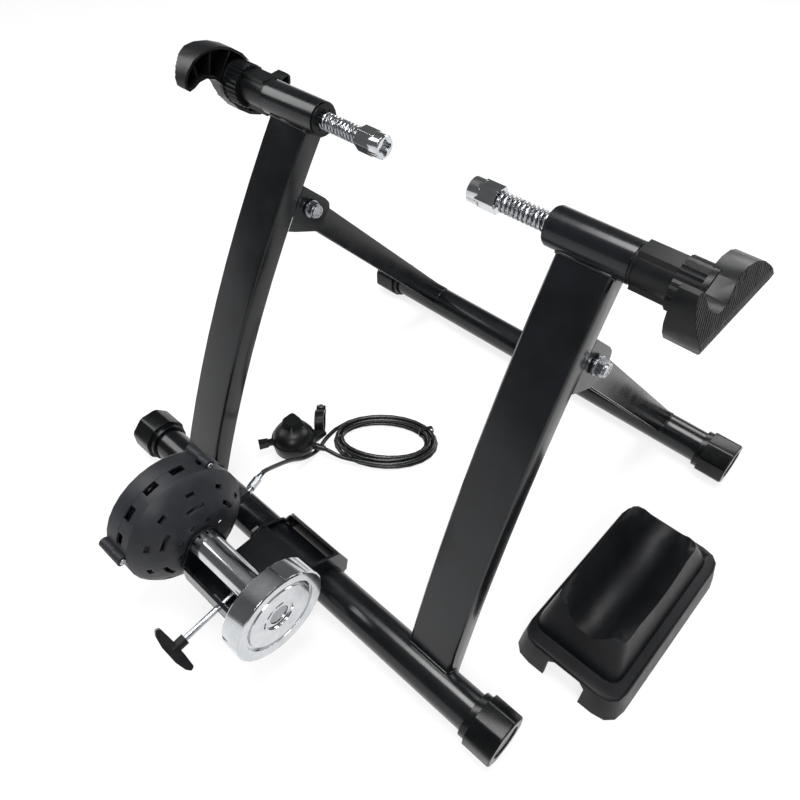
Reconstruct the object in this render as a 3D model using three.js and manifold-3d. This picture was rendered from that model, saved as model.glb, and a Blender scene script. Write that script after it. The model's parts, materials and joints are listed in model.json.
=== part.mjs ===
// A folding turbo trainer that clamps a bicycle's rear axle and presses a braked roller to its tyre.
// Millimetres, +Z up, floor at z = 0. X runs along the two floor tubes, the rear leg is at +Y.
import * as THREE from 'three';
import { mergeVertices } from 'three/addons/utils/BufferGeometryUtils.js';
import Module from 'manifold-3d';

const wasm = await Module();
wasm.setup();

// Shared clearances
const seatGap = 0.3;
const runGap = 0.3;
const overrun = 2;

// Floor tubes
const tubeRadius = 19.05;
const tubeWall = 1.5;
const tubeAxisHeight = 24.5;
const frontTubeHalf = 262;
const rearTubeHalf = 269.5;
const rearTubeY = 422;

// Foot caps
const footFlat = 24.5;
const footCorner = 25.7;
const footEndWall = 3.7;
const footCollarRadius = 22.4;
const footCollarLength = 7;
const footFrontLength = 36;
const footRearLength = 38;
const footRecessRadius = 17;
const footRecessDepth = 1.2;
const footBevel = 1;

// Uprights
const uprightWidth = 48;
const uprightDepth = 25;
const uprightWall = 1.8;
const uprightCorner = 3;
const uprightBaseX = 171.9;
const uprightSetback = 11.4;
const uprightSagitta = 13.6;
const uprightLean = THREE.MathUtils.degToRad(2.6);
const uprightTopSetback = 7.4;

// Axle clamps
const axleY = 183.5;
const axleHeight = 391;
const sleeveRadius = 15.6;
const sleeveWall = 2.3;
const sleeveInner = 121.2;
const sleeveOuter = 187.6;
const cupInner = 46.5;
const cupLength = 26.5;
const cupRadius = 10.3;
const cupHexRadius = 9.6;
const cupRecessDepth = 9;
const cupRecessRadius = 5.2;
const cupLobeRadius = 2.4;
const spindleRadius = 5;
const spindleLength = 170;
const springWire = 1.1;
const springRadius = 6.9;
const springCurls = 10;
const bushLength = 13;
const bushFlange = 1.7;
const bushFlangeRadius = 14.4;
const bushHoleRadius = 1.1;
const bushHoles = 8;
const bodyLength = 89.4;
const bodyInSleeve = 37;
const bodyRadius = 14.3;
const bodyFlange = 2.2;
const bodyPanelLength = 28;
const bodyPanelRise = 1.6;
const bodyPanelWidth = 17;
const bodyNeckRadius = 13.4;
const collarLength = 21.6;
const collarRadius = 18.6;
const collarRibHeight = 1.2;
const collarRibs = 28;
const collarDiscRadius = 20.3;
const collarDiscLength = 4.2;
const leverWingInset = 6;
const leverDepth = 19;
const leverWall = 2.6;
const leverBossRadius = 9;
const leverTilt = { left: 0, right: THREE.MathUtils.degToRad(-45) };

// Rear leg
const pivotBehind = 34.41;
const pivotHeight = 303.4;
const pivotBoltRadius = 4;
const pivotHeadFlat = 6.5;
const pivotHeadLength = 5.3;
const pivotNutLength = 8;
const pivotWasherRadius = 8.6;
const pivotWasherLength = 1.6;
const bracketPlate = 2.5;
const armPlate = 2.5;
const armAbovePivot = 10.5;
const armBelowPivot = 15.6;
const armNose = 13;
const armEndHalfWidth = 12;
const armEndX = 178;
const armLip = 5;
const armEndShort = 6;

// Resistance unit
const unitY = -72;
const unitHeight = 91.6;
const unitPivotY = -18;
const unitPivotHeight = 48.5;
const framePlate = 3;
const frameLeft = -48.7;
const frameRight = 41.3;
const cheekInner = 38;
const earRadius = 8;
const unitBoltRadius = 4;
const unitBoltHead = 2.6;
const unitNutLength = 4;
const shaftRadius = 6;
const shaftLeft = -104;
const shaftRight = 62.5;
const shaftHeadRadius = 9.6;
const shaftHeadStart = 58.4;
const rollerRadius = 14.5;
const rollerLeft = -45;
const rollerRight = 37;
const flywheelLeft = 44.6;
const flywheelRight = 66.5;
const flywheelRadius = 48;
const bearingRadius = 11;
const bearingSpans = { left: [-51, -45.3], right: [37.4, 44.2] };
const drumRadius = 64;
const drumWall = 2.5;
const drumBack = -111;
const drumSeam = -89;
const drumHubFace = -49;
const drumHubRadius = 32;
const drumHoleRadius = 14;
const drumBossRadius = 5.6;
const drumBossPitch = 66;
const drumBossAngles = [51, 171, 291];
const drumNotches = 14;
const rotorRadius = 52;
const rotorStart = -84;
const rotorThickness = 5;
const carrierStart = -100;
const carrierThickness = 8;
const carrierRadius = 56;
const carrierBore = 20;
const guideRadius = 3;
const guidePitch = 42;
const guideEnd = -90;

// Tyre-pressure screw with its T-handle
const screwRadius = 3;
const screwOuterY = -149;
const screwInnerY = -64;
const screwHeightAtLip = 57.65;
const lipY = -98;
const trunnionY = -95;
const trunnionRadius = 4.5;
const trunnionHalf = 12;
const gripThickness = 10;
const gripTilt = THREE.MathUtils.degToRad(40);
const gripHubRadius = 5.5;

// Front-wheel riser block
const blockRimHeight = 33;
const blockHornHeight = 80;
const blockCradleLow = 49.5;
const blockCradleRadius = 193;
const blockCradleX = 265;
const blockWall = 3;

// Remote shifter
const shifterX = -133.5;
const shifterY = 108;
const shifterRadius = 25;
const shifterSlotLow = 16;
const shifterSlotHigh = 21;
const shifterFloor = 0.5;
const shifterPost = 5;
const shifterCapFoot = [-17, 12, -12, 17];
const shifterCapTop = [-14, 3, -3, 14];
const shifterCapHeight = 42;
const shifterNeck = [3.5, 16.5, 16, 38, 4, 15.5];
const shifterDiscRim = 0.8;
const shifterPadStart = 32;
const shifterPadEnd = 41.5;
const shifterPadRise = 2;
const shifterLeverAngle = THREE.MathUtils.degToRad(-121);
const clampRingX = -132;
const clampRingY = 150;
const clampRingHeight = 14.5;
const clampRingRadius = 14;
const clampRingBore = 11.3;
const clampRingWidth = 11;
const clampRingTurn = THREE.MathUtils.degToRad(42);

// Cable and its coil
const cableRadius = 2.5;
const cableRest = 3;
const coilX = -57;
const coilY = 187;
const coilLongHalf = 65.5;
const coilShortHalf = 42.5;
const coilTurn = THREE.MathUtils.degToRad(38);
const coilStart = THREE.MathUtils.degToRad(152.7);
const coilPitch = 5.75;
const coilTurnsIn = 2.35;
const coilTurnsOut = 1.88;
const coilDip = 1.6;

// Finishes
const finish = (color, roughness, metalness) => new THREE.MeshStandardMaterial({ color, roughness, metalness });
const powderCoat = finish(0x1b1d20, 0.42, 0.2);
const blackPlastic = finish(0x1c1d1f, 0.6, 0);
const footRubber = finish(0x17181a, 0.65, 0);
const drumPlastic = finish(0x26272b, 0.62, 0);
const chrome = finish(0xc9cbcd, 0.12, 1);
const machinedSteel = finish(0xb9bbbd, 0.3, 1);
const zincSteel = finish(0xaeb2b8, 0.35, 1);
const aluminium = finish(0xb4b6b8, 0.4, 1);
const cableJacket = finish(0x141516, 0.45, 0);

// Solids from three.js geometry, and joins and cuts between them

/** Merges shared vertices, drops faces of no area and turns the faces outwards. */
function closed(geometry) {
  const bare = geometry.clone();
  bare.deleteAttribute('normal');
  bare.deleteAttribute('uv');
  const merged = mergeVertices(bare);
  const place = merged.attributes.position;
  const corner = (i) => new THREE.Vector3().fromBufferAttribute(place, i);
  const faces = [];
  let volume = 0;
  for (let i = 0; i < merged.index.count; i += 3) {
    const [a, b, c] = [0, 1, 2].map((k) => merged.index.getX(i + k));
    if (a === b || b === c || a === c) continue;
    faces.push([a, b, c]);
    volume += corner(a).dot(corner(b).cross(corner(c)));
  }
  const turned = volume < 0 ? faces.map(([a, b, c]) => [a, c, b]) : faces;
  merged.setIndex(turned.flat());
  return merged;
}

function toSolid(geometry) {
  const ready = closed(geometry);
  const vertProperties = new Float32Array(ready.attributes.position.array);
  const triVerts = new Uint32Array(ready.index.array);
  return new wasm.Manifold(new wasm.Mesh({ numProp: 3, vertProperties, triVerts }));
}

function toGeometry(solid) {
  const mesh = solid.getMesh();
  const geometry = new THREE.BufferGeometry();
  geometry.setAttribute('position', new THREE.BufferAttribute(new Float32Array(mesh.vertProperties), 3));
  geometry.setIndex(new THREE.BufferAttribute(new Uint32Array(mesh.triVerts), 1));
  return geometry;
}

const join = (first, ...rest) => toGeometry(rest.reduce((sum, g) => sum.add(toSolid(g)), toSolid(first)));
const cut = (first, ...rest) => toGeometry(rest.reduce((left, g) => left.subtract(toSolid(g)), toSolid(first)));
const common = (first, ...rest) => toGeometry(rest.reduce((both, g) => both.intersect(toSolid(g)), toSolid(first)));

// Outlines

const toShape = (points) => new THREE.Shape(points.map(([a, b]) => new THREE.Vector2(a, b)));

function circlePoints(radius, count, a = 0, b = 0) {
  return Array.from({ length: count }, (_, i) => {
    const angle = (i / count) * 2 * Math.PI;
    return [a + radius * Math.cos(angle), b + radius * Math.sin(angle)];
  });
}

/** A polygon whose corners are rounded to a radius, each by a short arc. */
function roundedPoints(points, radius, steps = 2) {
  const result = [];
  points.forEach(([a, b], i) => {
    const corner = new THREE.Vector2(a, b);
    const before = new THREE.Vector2(...points.at(i - 1)).sub(corner);
    const after = new THREE.Vector2(...points[(i + 1) % points.length]).sub(corner);
    const size = Array.isArray(radius) ? radius[i] : radius;
    const half = Math.acos(before.clone().normalize().dot(after.clone().normalize())) / 2;
    const reach = Math.min(size / Math.tan(half), before.length() / 2, after.length() / 2);
    if (size === 0) {
      result.push([a, b]);
      return;
    }
    const start = corner.clone().add(before.setLength(reach));
    const end = corner.clone().add(after.setLength(reach));
    const arc = new THREE.QuadraticBezierCurve(start, corner, end);
    arc.getPoints(steps).forEach((p) => result.push([p.x, p.y]));
  });
  return result;
}

/** The outline of a sheet of one thickness bent along a line of points, to the left of the line. */
function bentSheet(points, thickness) {
  const line = points.map(([a, b]) => new THREE.Vector2(a, b));
  const normals = line.slice(1).map((p, i) => {
    const step = p.clone().sub(line[i]).normalize();
    return new THREE.Vector2(-step.y, step.x);
  });
  const other = line.map((p, i) => {
    const first = normals[Math.max(i - 1, 0)];
    const second = normals[Math.min(i, normals.length - 1)];
    const middle = first.clone().add(second).normalize();
    return p.clone().addScaledVector(middle, thickness / middle.dot(first));
  });
  return [...line, ...other.reverse()].map((p) => [p.x, p.y]);
}

// Prisms, revolved shapes and rods

const axisX = new THREE.Vector3(1, 0, 0);
const axisY = new THREE.Vector3(0, 1, 0);
const axisZ = new THREE.Vector3(0, 0, 1);
const shapeToX = new THREE.Matrix4().makeBasis(axisY, axisZ, axisX);
const shapeToY = new THREE.Matrix4().makeBasis(axisX, axisZ, axisY.clone().negate());

function extrude(points, depth, holes = []) {
  const shape = toShape(points);
  holes.forEach((hole) => shape.holes.push(toShape(hole)));
  return new THREE.ExtrudeGeometry(shape, { depth, bevelEnabled: false });
}

/** A prism along X of an outline given in y and z. */
function prismX(points, x0, x1, holes) {
  return extrude(points, x1 - x0, holes).applyMatrix4(shapeToX).translate(x0, 0, 0);
}

/** A prism along Y of an outline given in x and z. */
function prismY(points, y0, y1, holes) {
  return extrude(points, y1 - y0, holes).applyMatrix4(shapeToY).translate(0, y1, 0);
}

/** A prism along Z of an outline given in x and y. */
function prismZ(points, z0, z1, holes) {
  return extrude(points, z1 - z0, holes).translate(0, 0, z0);
}

function box(x0, x1, y0, y1, z0, z1) {
  const middle = [(x0 + x1) / 2, (y0 + y1) / 2, (z0 + z1) / 2];
  return new THREE.BoxGeometry(x1 - x0, y1 - y0, z1 - z0).translate(...middle);
}

const rodX = (radius, x0, x1, y = 0, z = 0, sides = 16) => prismX(circlePoints(radius, sides, y, z), x0, x1);

/** A shape turned about the X axis from points given as distance along X and radius. */
function turnedX(profile, sides = 48) {
  const points = profile.map(([x, r]) => new THREE.Vector2(r, x));
  return new THREE.LatheGeometry(points, sides).rotateZ(-Math.PI / 2);
}

/** A round rod between two points. */
function rodBetween(start, end, radius, sides = 16) {
  const along = end.clone().sub(start);
  const turn = new THREE.Quaternion().setFromUnitVectors(axisY, along.clone().normalize());
  const middle = start.clone().add(end).multiplyScalar(1 / 2);
  return new THREE.CylinderGeometry(radius, radius, along.length(), sides)
    .applyQuaternion(turn)
    .translate(middle.x, middle.y, middle.z);
}

const hexPoints = (flat, a = 0, b = 0) => circlePoints(flat / Math.cos(Math.PI / 6), 6, a, b);

/** One unbroken round tube through rings of points, closed at both ends. */
function woundTube(centres, radius, sides) {
  const rings = [];
  let normal = null;
  centres.forEach((centre, i) => {
    const ahead = centres[Math.min(i + 1, centres.length - 1)];
    const behind = centres[Math.max(i - 1, 0)];
    const along = ahead.clone().sub(behind).normalize();
    if (!normal) normal = Math.abs(along.z) < Math.SQRT1_2 ? axisZ.clone() : axisX.clone();
    normal.addScaledVector(along, -normal.dot(along)).normalize();
    const side = along.clone().cross(normal);
    for (let k = 0; k < sides; k += 1) {
      const angle = (k / sides) * 2 * Math.PI;
      const offset = normal.clone().multiplyScalar(Math.cos(angle)).addScaledVector(side, Math.sin(angle));
      rings.push(centre.clone().addScaledVector(offset, radius));
    }
  });
  const faces = [];
  for (let i = 0; i < centres.length - 1; i += 1) {
    for (let k = 0; k < sides; k += 1) {
      const a = i * sides + k;
      const b = i * sides + ((k + 1) % sides);
      faces.push(a, b, a + sides, b, b + sides, a + sides);
    }
  }
  const last = (centres.length - 1) * sides;
  for (let k = 1; k < sides - 1; k += 1) {
    faces.push(0, k + 1, k);
    faces.push(last, last + k, last + k + 1);
  }
  const geometry = new THREE.BufferGeometry().setFromPoints(rings);
  geometry.setIndex(faces);
  return geometry;
}

/** The least clear distance of a wound tube to itself, leaving out points closer along it than a turn's half. */
function leastGap(centres, radius, stepsPerTurn) {
  let least = Infinity;
  const apart = Math.round(stepsPerTurn / 2);
  centres.forEach((point, i) => {
    for (let j = i + apart; j < centres.length; j += 1) {
      least = Math.min(least, point.distanceTo(centres[j]));
    }
  });
  return least - 2 * radius;
}

const trainer = new THREE.Group();
const cordNames = ['cable_run', 'cable_coil', 'cable_tail'];

function addPart(parent, name, geometry, material) {
  const mesh = new THREE.Mesh(closed(geometry), material);
  mesh.name = name;
  parent.add(mesh);
  return mesh;
}

function placedGroup(parent, x, y, z, turn = 0) {
  const group = new THREE.Group();
  group.position.set(x, y, z);
  group.rotation.z = turn;
  parent.add(group);
  return group;
}

const sides = [{ name: 'left', sign: -1, turn: Math.PI }, { name: 'right', sign: 1, turn: 0 }];

// Floor tubes and their foot caps

const tubeSides = 24;

function floorTube(half) {
  const bore = circlePoints(tubeRadius - tubeWall, tubeSides);
  return prismX(circlePoints(tubeRadius, tubeSides), -half, half, [bore]);
}

/** A cap with eight flats and rounded corners, so that it stands on one of the flats. */
function footCap(length) {
  const halfFlat = Math.acos(footFlat / footCorner);
  const section = [];
  for (let i = 0; i < 8; i += 1) {
    const middle = (i * Math.PI) / 4;
    [-halfFlat, halfFlat].forEach((offset) => {
      section.push([footCorner * Math.cos(middle + offset), footCorner * Math.sin(middle + offset)]);
    });
  }
  const inset = (points, by) => points.map(([a, b]) => [a * (1 - by / footCorner), b * (1 - by / footCorner)]);
  const barrel = prismX(section, footCollarLength, length - footBevel);
  const nose = prismX(inset(section, footBevel), length - overrun, length);
  const collar = rodX(footCollarRadius, 0, footCollarLength + overrun, 0, 0, 20);
  const bore = rodX(tubeRadius + seatGap, -overrun, length - footEndWall, 0, 0, tubeSides);
  const recess = rodX(footRecessRadius, length - footRecessDepth, length + overrun, 0, 0, 20);
  return cut(join(barrel, nose, collar), bore, recess);
}

const baseLine = placedGroup(trainer, 0, 0, tubeAxisHeight);
addPart(baseLine, 'base_tube', floorTube(frontTubeHalf), powderCoat);
const rearLine = placedGroup(trainer, 0, rearTubeY, tubeAxisHeight);
addPart(rearLine, 'rear_tube', floorTube(rearTubeHalf), powderCoat);

const frontFootStart = frontTubeHalf + footEndWall + seatGap - footFrontLength;
const rearFootStart = rearTubeHalf + footEndWall + seatGap - footRearLength;
sides.forEach(({ name, sign, turn }) => {
  const front = placedGroup(baseLine, sign * frontFootStart, 0, 0, turn);
  addPart(front, `front_${name}_foot`, footCap(footFrontLength), footRubber);
  const rear = placedGroup(rearLine, sign * rearFootStart, 0, 0, turn);
  addPart(rear, `rear_${name}_foot`, footCap(footRearLength), footRubber);
});

// Uprights, bent to one arc, leaning in and coped over the base tube

class UprightArc extends THREE.Curve {
  constructor(start, end, sagitta) {
    super();
    const chord = end.clone().sub(start);
    const half = chord.length() / 2;
    this.radius = (half * half + sagitta * sagitta) / (2 * sagitta);
    this.reach = Math.asin(half / this.radius);
    this.along = chord.normalize();
    this.inward = new THREE.Vector3(0, this.along.z, -this.along.y);
    this.centre = start.clone().add(end).multiplyScalar(1 / 2).addScaledVector(this.inward, this.radius - sagitta);
  }

  /** How far back the arc lies at one height. */
  depthAt(height) {
    return this.centre.y - Math.sqrt(this.radius ** 2 - (height - this.centre.z) ** 2);
  }

  getPoint(share) {
    const angle = (2 * share - 1) * this.reach;
    return this.centre.clone()
      .addScaledVector(this.inward, -this.radius * Math.cos(angle))
      .addScaledVector(this.along, this.radius * Math.sin(angle));
  }
}

const uprightRise = axleHeight - tubeAxisHeight;
const uprightArc = new UprightArc(
  new THREE.Vector3(0, uprightSetback, 0),
  new THREE.Vector3(0, axleY + uprightTopSetback, uprightRise),
  uprightSagitta,
);
const uprightSteps = 10;
const pivotRise = pivotHeight - tubeAxisHeight;
const pivotY = uprightArc.depthAt(pivotRise) + pivotBehind;
const pivotCentreX = uprightBaseX - pivotRise * Math.tan(uprightLean);

/** The upright's bar grown by a margin on every side, as a solid bar or a tube. */
function uprightBar(grow, hollow) {
  const a = uprightWidth / 2 + grow;
  const b = uprightDepth / 2 + grow;
  const shape = toShape(roundedPoints([[-a, -b], [a, -b], [a, b], [-a, b]], uprightCorner, 1));
  if (hollow) {
    const [c, d] = [a - uprightWall, b - uprightWall];
    shape.holes.push(toShape([[-c, -d], [c, -d], [c, d], [-c, d]]));
  }
  return new THREE.ExtrudeGeometry(shape, { steps: uprightSteps, bevelEnabled: false, extrudePath: uprightArc });
}

const leanMatrix = (sign) => new THREE.Matrix4()
  .makeRotationY(-sign * uprightLean)
  .setPosition(sign * uprightBaseX, 0, tubeAxisHeight);

const baseTubeTool = rodX(tubeRadius + seatGap, -frontTubeHalf, frontTubeHalf, 0, tubeAxisHeight, tubeSides);
const sleeveTool = rodX(sleeveRadius + seatGap, -sleeveOuter, sleeveOuter, axleY, axleHeight, tubeSides);

sides.forEach(({ name, sign }) => {
  const bar = uprightBar(0, true).applyMatrix4(leanMatrix(sign));
  addPart(trainer, `${name}_upright`, cut(bar, baseTubeTool, sleeveTool), powderCoat);
});

// Pivot brackets: a channel welded to the back of each upright

const bracketOutline = [[-22, 30], [-7.4, 28.9], [20, 3], [25, -4], [25, -11], [8, -29.4], [-20, -16.7], [-40, -6]];
const bracketRound = [0, 3, 3, 5, 4, 3, 0, 0];

function pivotBracket(sign) {
  const matrix = leanMatrix(sign);
  const place = (points) => points.map(([a, b]) => [a + pivotY, b + pivotRise]);
  const outer = uprightWidth / 2;
  const inner = outer - bracketPlate;
  const outline = place(roundedPoints(bracketOutline, bracketRound));
  const block = prismX(outline, -outer, outer);
  const wide = place([[-60, 45], [40, 45], [40, -45], [-60, -45]]);
  const hollow = cut(prismX(wide, -inner, inner), uprightBar(seatGap + bracketPlate, false));
  const relief = prismX(place([[-60, 13], [40, 13], [40, -45], [-60, -45]]), -inner, inner);
  const channel = cut(block, hollow, relief, uprightBar(seatGap, false)).applyMatrix4(matrix);
  const reach = uprightBaseX + uprightWidth;
  return cut(channel, rodX(pivotBoltRadius + runGap, -reach, reach, pivotY, pivotHeight));
}

const leanReach = 32;
const leanAllowance = leanReach * Math.tan(uprightLean);

/** A hexagon-headed bolt along X with its head at the lower end. */
function pivotBolt() {
  const head = prismX(hexPoints(pivotHeadFlat), -pivotHeadLength, 0);
  const grip = uprightWidth + 2 * seatGap + pivotWasherLength + pivotNutLength + overrun;
  return join(head, rodX(pivotBoltRadius, -overrun, grip, 0, 0));
}

/** A self-locking nut standing on its washer. */
function pivotNut() {
  const washer = rodX(pivotWasherRadius, 0, pivotWasherLength, 0, 0, 20);
  const hexShare = 0.7;
  const hex = prismX(hexPoints(pivotHeadFlat), pivotWasherLength - overrun / 2, pivotWasherLength + pivotNutLength * hexShare);
  const crown = rodX(pivotHeadFlat - seatGap, pivotWasherLength, pivotWasherLength + pivotNutLength, 0, 0, 20);
  const hole = rodX(pivotBoltRadius + seatGap, -overrun, pivotWasherLength + pivotNutLength + overrun, 0, 0);
  return cut(join(washer, hex, crown), hole);
}

sides.forEach(({ name, sign }) => {
  addPart(trainer, `${name}_pivot_bracket`, pivotBracket(sign), powderCoat);
  const start = sign * pivotCentreX - uprightWidth / 2 - leanAllowance;
  const bolt = placedGroup(trainer, start, pivotY, pivotHeight);
  addPart(bolt, `${name}_pivot_bolt`, pivotBolt(), zincSteel);
  const nut = placedGroup(trainer, sign * pivotCentreX + uprightWidth / 2 + leanAllowance, pivotY, pivotHeight);
  addPart(nut, `${name}_pivot_nut`, pivotNut(), zincSteel);
});

// Rear leg: two tapering channels from the pivots to the rear tube

const legReach = Math.hypot(rearTubeY - pivotY, pivotHeight - tubeAxisHeight);
const tubeBelowLine = 7.3;
const legSlope = Math.atan2(tubeAxisHeight - pivotHeight, rearTubeY - pivotY) + Math.asin(tubeBelowLine / legReach);
const legAlong = new THREE.Vector3(0, Math.cos(legSlope), Math.sin(legSlope));
const legUp = new THREE.Vector3(0, -legAlong.z, legAlong.y);

/** The channel's section at one place along the arm: open below, with a lip along each lower edge. */
function armSection(half) {
  const [up, down] = [armAbovePivot, -armBelowPivot];
  const inner = half - armPlate;
  return [
    [-half, down], [-half + armLip, down], [-half + armLip, down + armPlate], [-inner, down + armPlate],
    [-inner, up - armPlate], [inner, up - armPlate], [inner, down + armPlate], [half - armLip, down + armPlate],
    [half - armLip, down], [half, down], [half, up], [-half, up],
  ];
}

/** A solid lofted through outlines of as many points each, with flat ends. */
function loft(stations) {
  const count = stations[0].outline.length;
  const points = stations.flatMap(({ outline, at }) => outline.map(([a, b]) => at(a, b)));
  const faces = [];
  for (let s = 0; s < stations.length - 1; s += 1) {
    for (let k = 0; k < count; k += 1) {
      const a = s * count + k;
      const b = s * count + ((k + 1) % count);
      faces.push(a, b, a + count, b, b + count, a + count);
    }
  }
  const flat = (outline) => outline.map(([a, b]) => new THREE.Vector2(a, b));
  const capFaces = (station) => THREE.ShapeUtils.triangulateShape(flat(station.outline), []);
  const last = (stations.length - 1) * count;
  capFaces(stations[0]).forEach(([a, b, c]) => faces.push(a, c, b));
  capFaces(stations.at(-1)).forEach(([a, b, c]) => faces.push(last + a, last + b, last + c));
  const geometry = new THREE.BufferGeometry().setFromPoints(points);
  geometry.setIndex(faces);
  return geometry;
}

function legArm(sign) {
  const startHalf = uprightWidth / 2 - bracketPlate - runGap - leanAllowance;
  const stationAt = (t) => {
    const share = t / legReach;
    const middle = THREE.MathUtils.lerp(pivotCentreX, armEndX, share);
    const half = THREE.MathUtils.lerp(startHalf, armEndHalfWidth, share);
    const at = (a, b) => new THREE.Vector3(sign * middle + a, pivotY, pivotHeight)
      .addScaledVector(legAlong, t)
      .addScaledVector(legUp, b);
    return { outline: armSection(half), at };
  };
  const ends = [-armNose, 0, legReach - armEndShort].map(stationAt);
  const reach = uprightBaseX + uprightWidth;
  const rearTubeTool = rodX(tubeRadius + seatGap, -reach, reach, rearTubeY, tubeAxisHeight, tubeSides);
  const boltTool = rodX(pivotBoltRadius + runGap, -reach, reach, pivotY, pivotHeight);
  const noseRadius = (armAbovePivot + armBelowPivot) / 2;
  const noseMiddle = (armAbovePivot - armBelowPivot) / 2;
  const noseArc = Array.from({ length: 9 }, (_, i) => {
    const angle = Math.PI / 2 + (i / 8) * Math.PI;
    return [noseRadius * Math.cos(angle), noseMiddle + noseRadius * Math.sin(angle)];
  });
  const far = legReach + overrun;
  const sideOutline = [...noseArc, [far, -armBelowPivot], [far, armAbovePivot]].map(([along, up]) => [
    pivotY + legAlong.y * along + legUp.y * up, pivotHeight + legAlong.z * along + legUp.z * up,
  ]);
  return cut(common(loft(ends), prismX(sideOutline, -reach, reach)), rearTubeTool, boltTool);
}

sides.forEach(({ name, sign }) => addPart(trainer, `${name}_leg_arm`, legArm(sign), powderCoat));

// Axle clamps. Each is built outwards along X and turned about Z for the left side.

function clampSleeve() {
  const bore = circlePoints(sleeveRadius - sleeveWall, tubeSides);
  return prismX(circlePoints(sleeveRadius, tubeSides), sleeveInner, sleeveOuter, [bore]);
}

const boreRadius = spindleRadius + runGap;
const boreTool = (x0, x1) => rodX(boreRadius, x0, x1, 0, 0, 16);
const insideSleeve = sleeveRadius - sleeveWall - seatGap;

function spindleBush() {
  const start = sleeveInner - seatGap - bushFlange;
  const flange = rodX(bushFlangeRadius, start, start + bushFlange, 0, 0, 20);
  const plug = rodX(insideSleeve, start + bushFlange / 2, start + bushLength, 0, 0, tubeSides);
  const pitch = (boreRadius + insideSleeve) / 2;
  const holes = circlePoints(pitch, bushHoles).map(([y, z]) => rodX(bushHoleRadius, start - overrun, start + 2 * bushFlange, y, z, 5));
  return cut(join(flange, plug), boreTool(start - overrun, start + bushLength + overrun), ...holes);
}

const bodyStart = sleeveOuter - bodyInSleeve;
const bodyStep = sleeveOuter + seatGap;
const panelStart = bodyStep + bodyFlange;
const bodyEnd = bodyStart + bodyLength;
const collarStart = panelStart + bodyPanelLength + seatGap;
const collarEnd = collarStart + collarLength;

function clampBody() {
  const core = turnedX([
    [bodyStart, 0], [bodyStart, insideSleeve], [bodyStep, insideSleeve], [bodyStep, sleeveRadius - seatGap],
    [panelStart, sleeveRadius - seatGap], [panelStart, bodyRadius], [collarStart - seatGap, bodyRadius],
    [collarStart - seatGap, bodyNeckRadius], [bodyEnd, bodyNeckRadius], [bodyEnd, 0],
  ], 24);
  const top = bodyRadius + bodyPanelRise;
  const half = bodyPanelWidth / 2;
  const panels = [0, Math.PI].map((turn) => box(
    panelStart - overrun / 2, collarStart - seatGap, -half, half, bodyRadius - bodyPanelRise - overrun, top,
  ).rotateX(turn));
  return cut(join(core, ...panels), boreTool(bodyStart - overrun, bodyEnd + overrun));
}

/** The lock ring, ribbed for the fingers, with a plain disc at its outer end. */
function lockCollar() {
  const count = collarRibs * 2;
  const rim = Array.from({ length: count }, (_, i) => {
    const angle = (i / count) * 2 * Math.PI;
    const radius = collarRadius + (i % 2) * collarRibHeight;
    return [radius * Math.cos(angle), radius * Math.sin(angle)];
  });
  const split = collarEnd - collarDiscLength;
  const ribbed = prismX(rim, collarStart, split + overrun / 2);
  const disc = rodX(collarDiscRadius, split, collarEnd, 0, 0, tubeSides);
  const bore = rodX(bodyNeckRadius + runGap, collarStart - overrun, collarEnd + overrun, 0, 0, 32);
  return cut(join(ribbed, disc), bore);
}

// The lever: an S of two hooked wings round a boss, hollow on the inner side and ribbed like a fan

const wingPoints = [
  [-16, 12], [-4, 27], [10, 35], [24, 38.5], [37, 37], [48, 32], [57, 23], [60.5, 14],
  [57, 8.5], [50, 10], [42, 14], [32, 13], [22, 6],
];
const leverFanCentre = [38, -14];
const leverFanAngles = [56, 80, 104, 128];
const leverRib = 1.5;
const crestShares = [[0, 0], [0.09, 0.05], [0.18, 0.17], [0.28, 0.3], [1, 1.1]];
const crestTurn = Math.PI / 4;
const leverReach = 66;

function leverOutline() {
  const whole = [...wingPoints, ...wingPoints.map(([a, b]) => [-a, -b])];
  const loop = new THREE.CatmullRomCurve3(whole.map(([a, b]) => new THREE.Vector3(a, b, 0)), true, 'centripetal');
  return loop.getPoints(32).slice(0, -1).map((p) => [p.x, p.y]);
}

function insetLoop(points, by) {
  return points.map(([a, b], i) => {
    const next = points[(i + 1) % points.length];
    const before = points.at(i - 1);
    const along = new THREE.Vector2(next[0] - before[0], next[1] - before[1]).normalize();
    return [a + along.y * by, b - along.x * by];
  });
}

/** A bar whose outer face falls away on both sides of a crest that runs across the lever. */
function crestedBlank(start, top) {
  const fall = leverDepth + leverWingInset - leverWall;
  const slope = crestShares.map(([share, drop]) => [top - drop * fall, share * leverReach]);
  const mirrored = slope.slice(1).map(([x, w]) => [x, -w]);
  const outline = [[start, -leverReach], [start, leverReach], ...slope.reverse(), ...mirrored];
  return prismY(outline, -leverReach, leverReach).rotateX(crestTurn);
}

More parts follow.
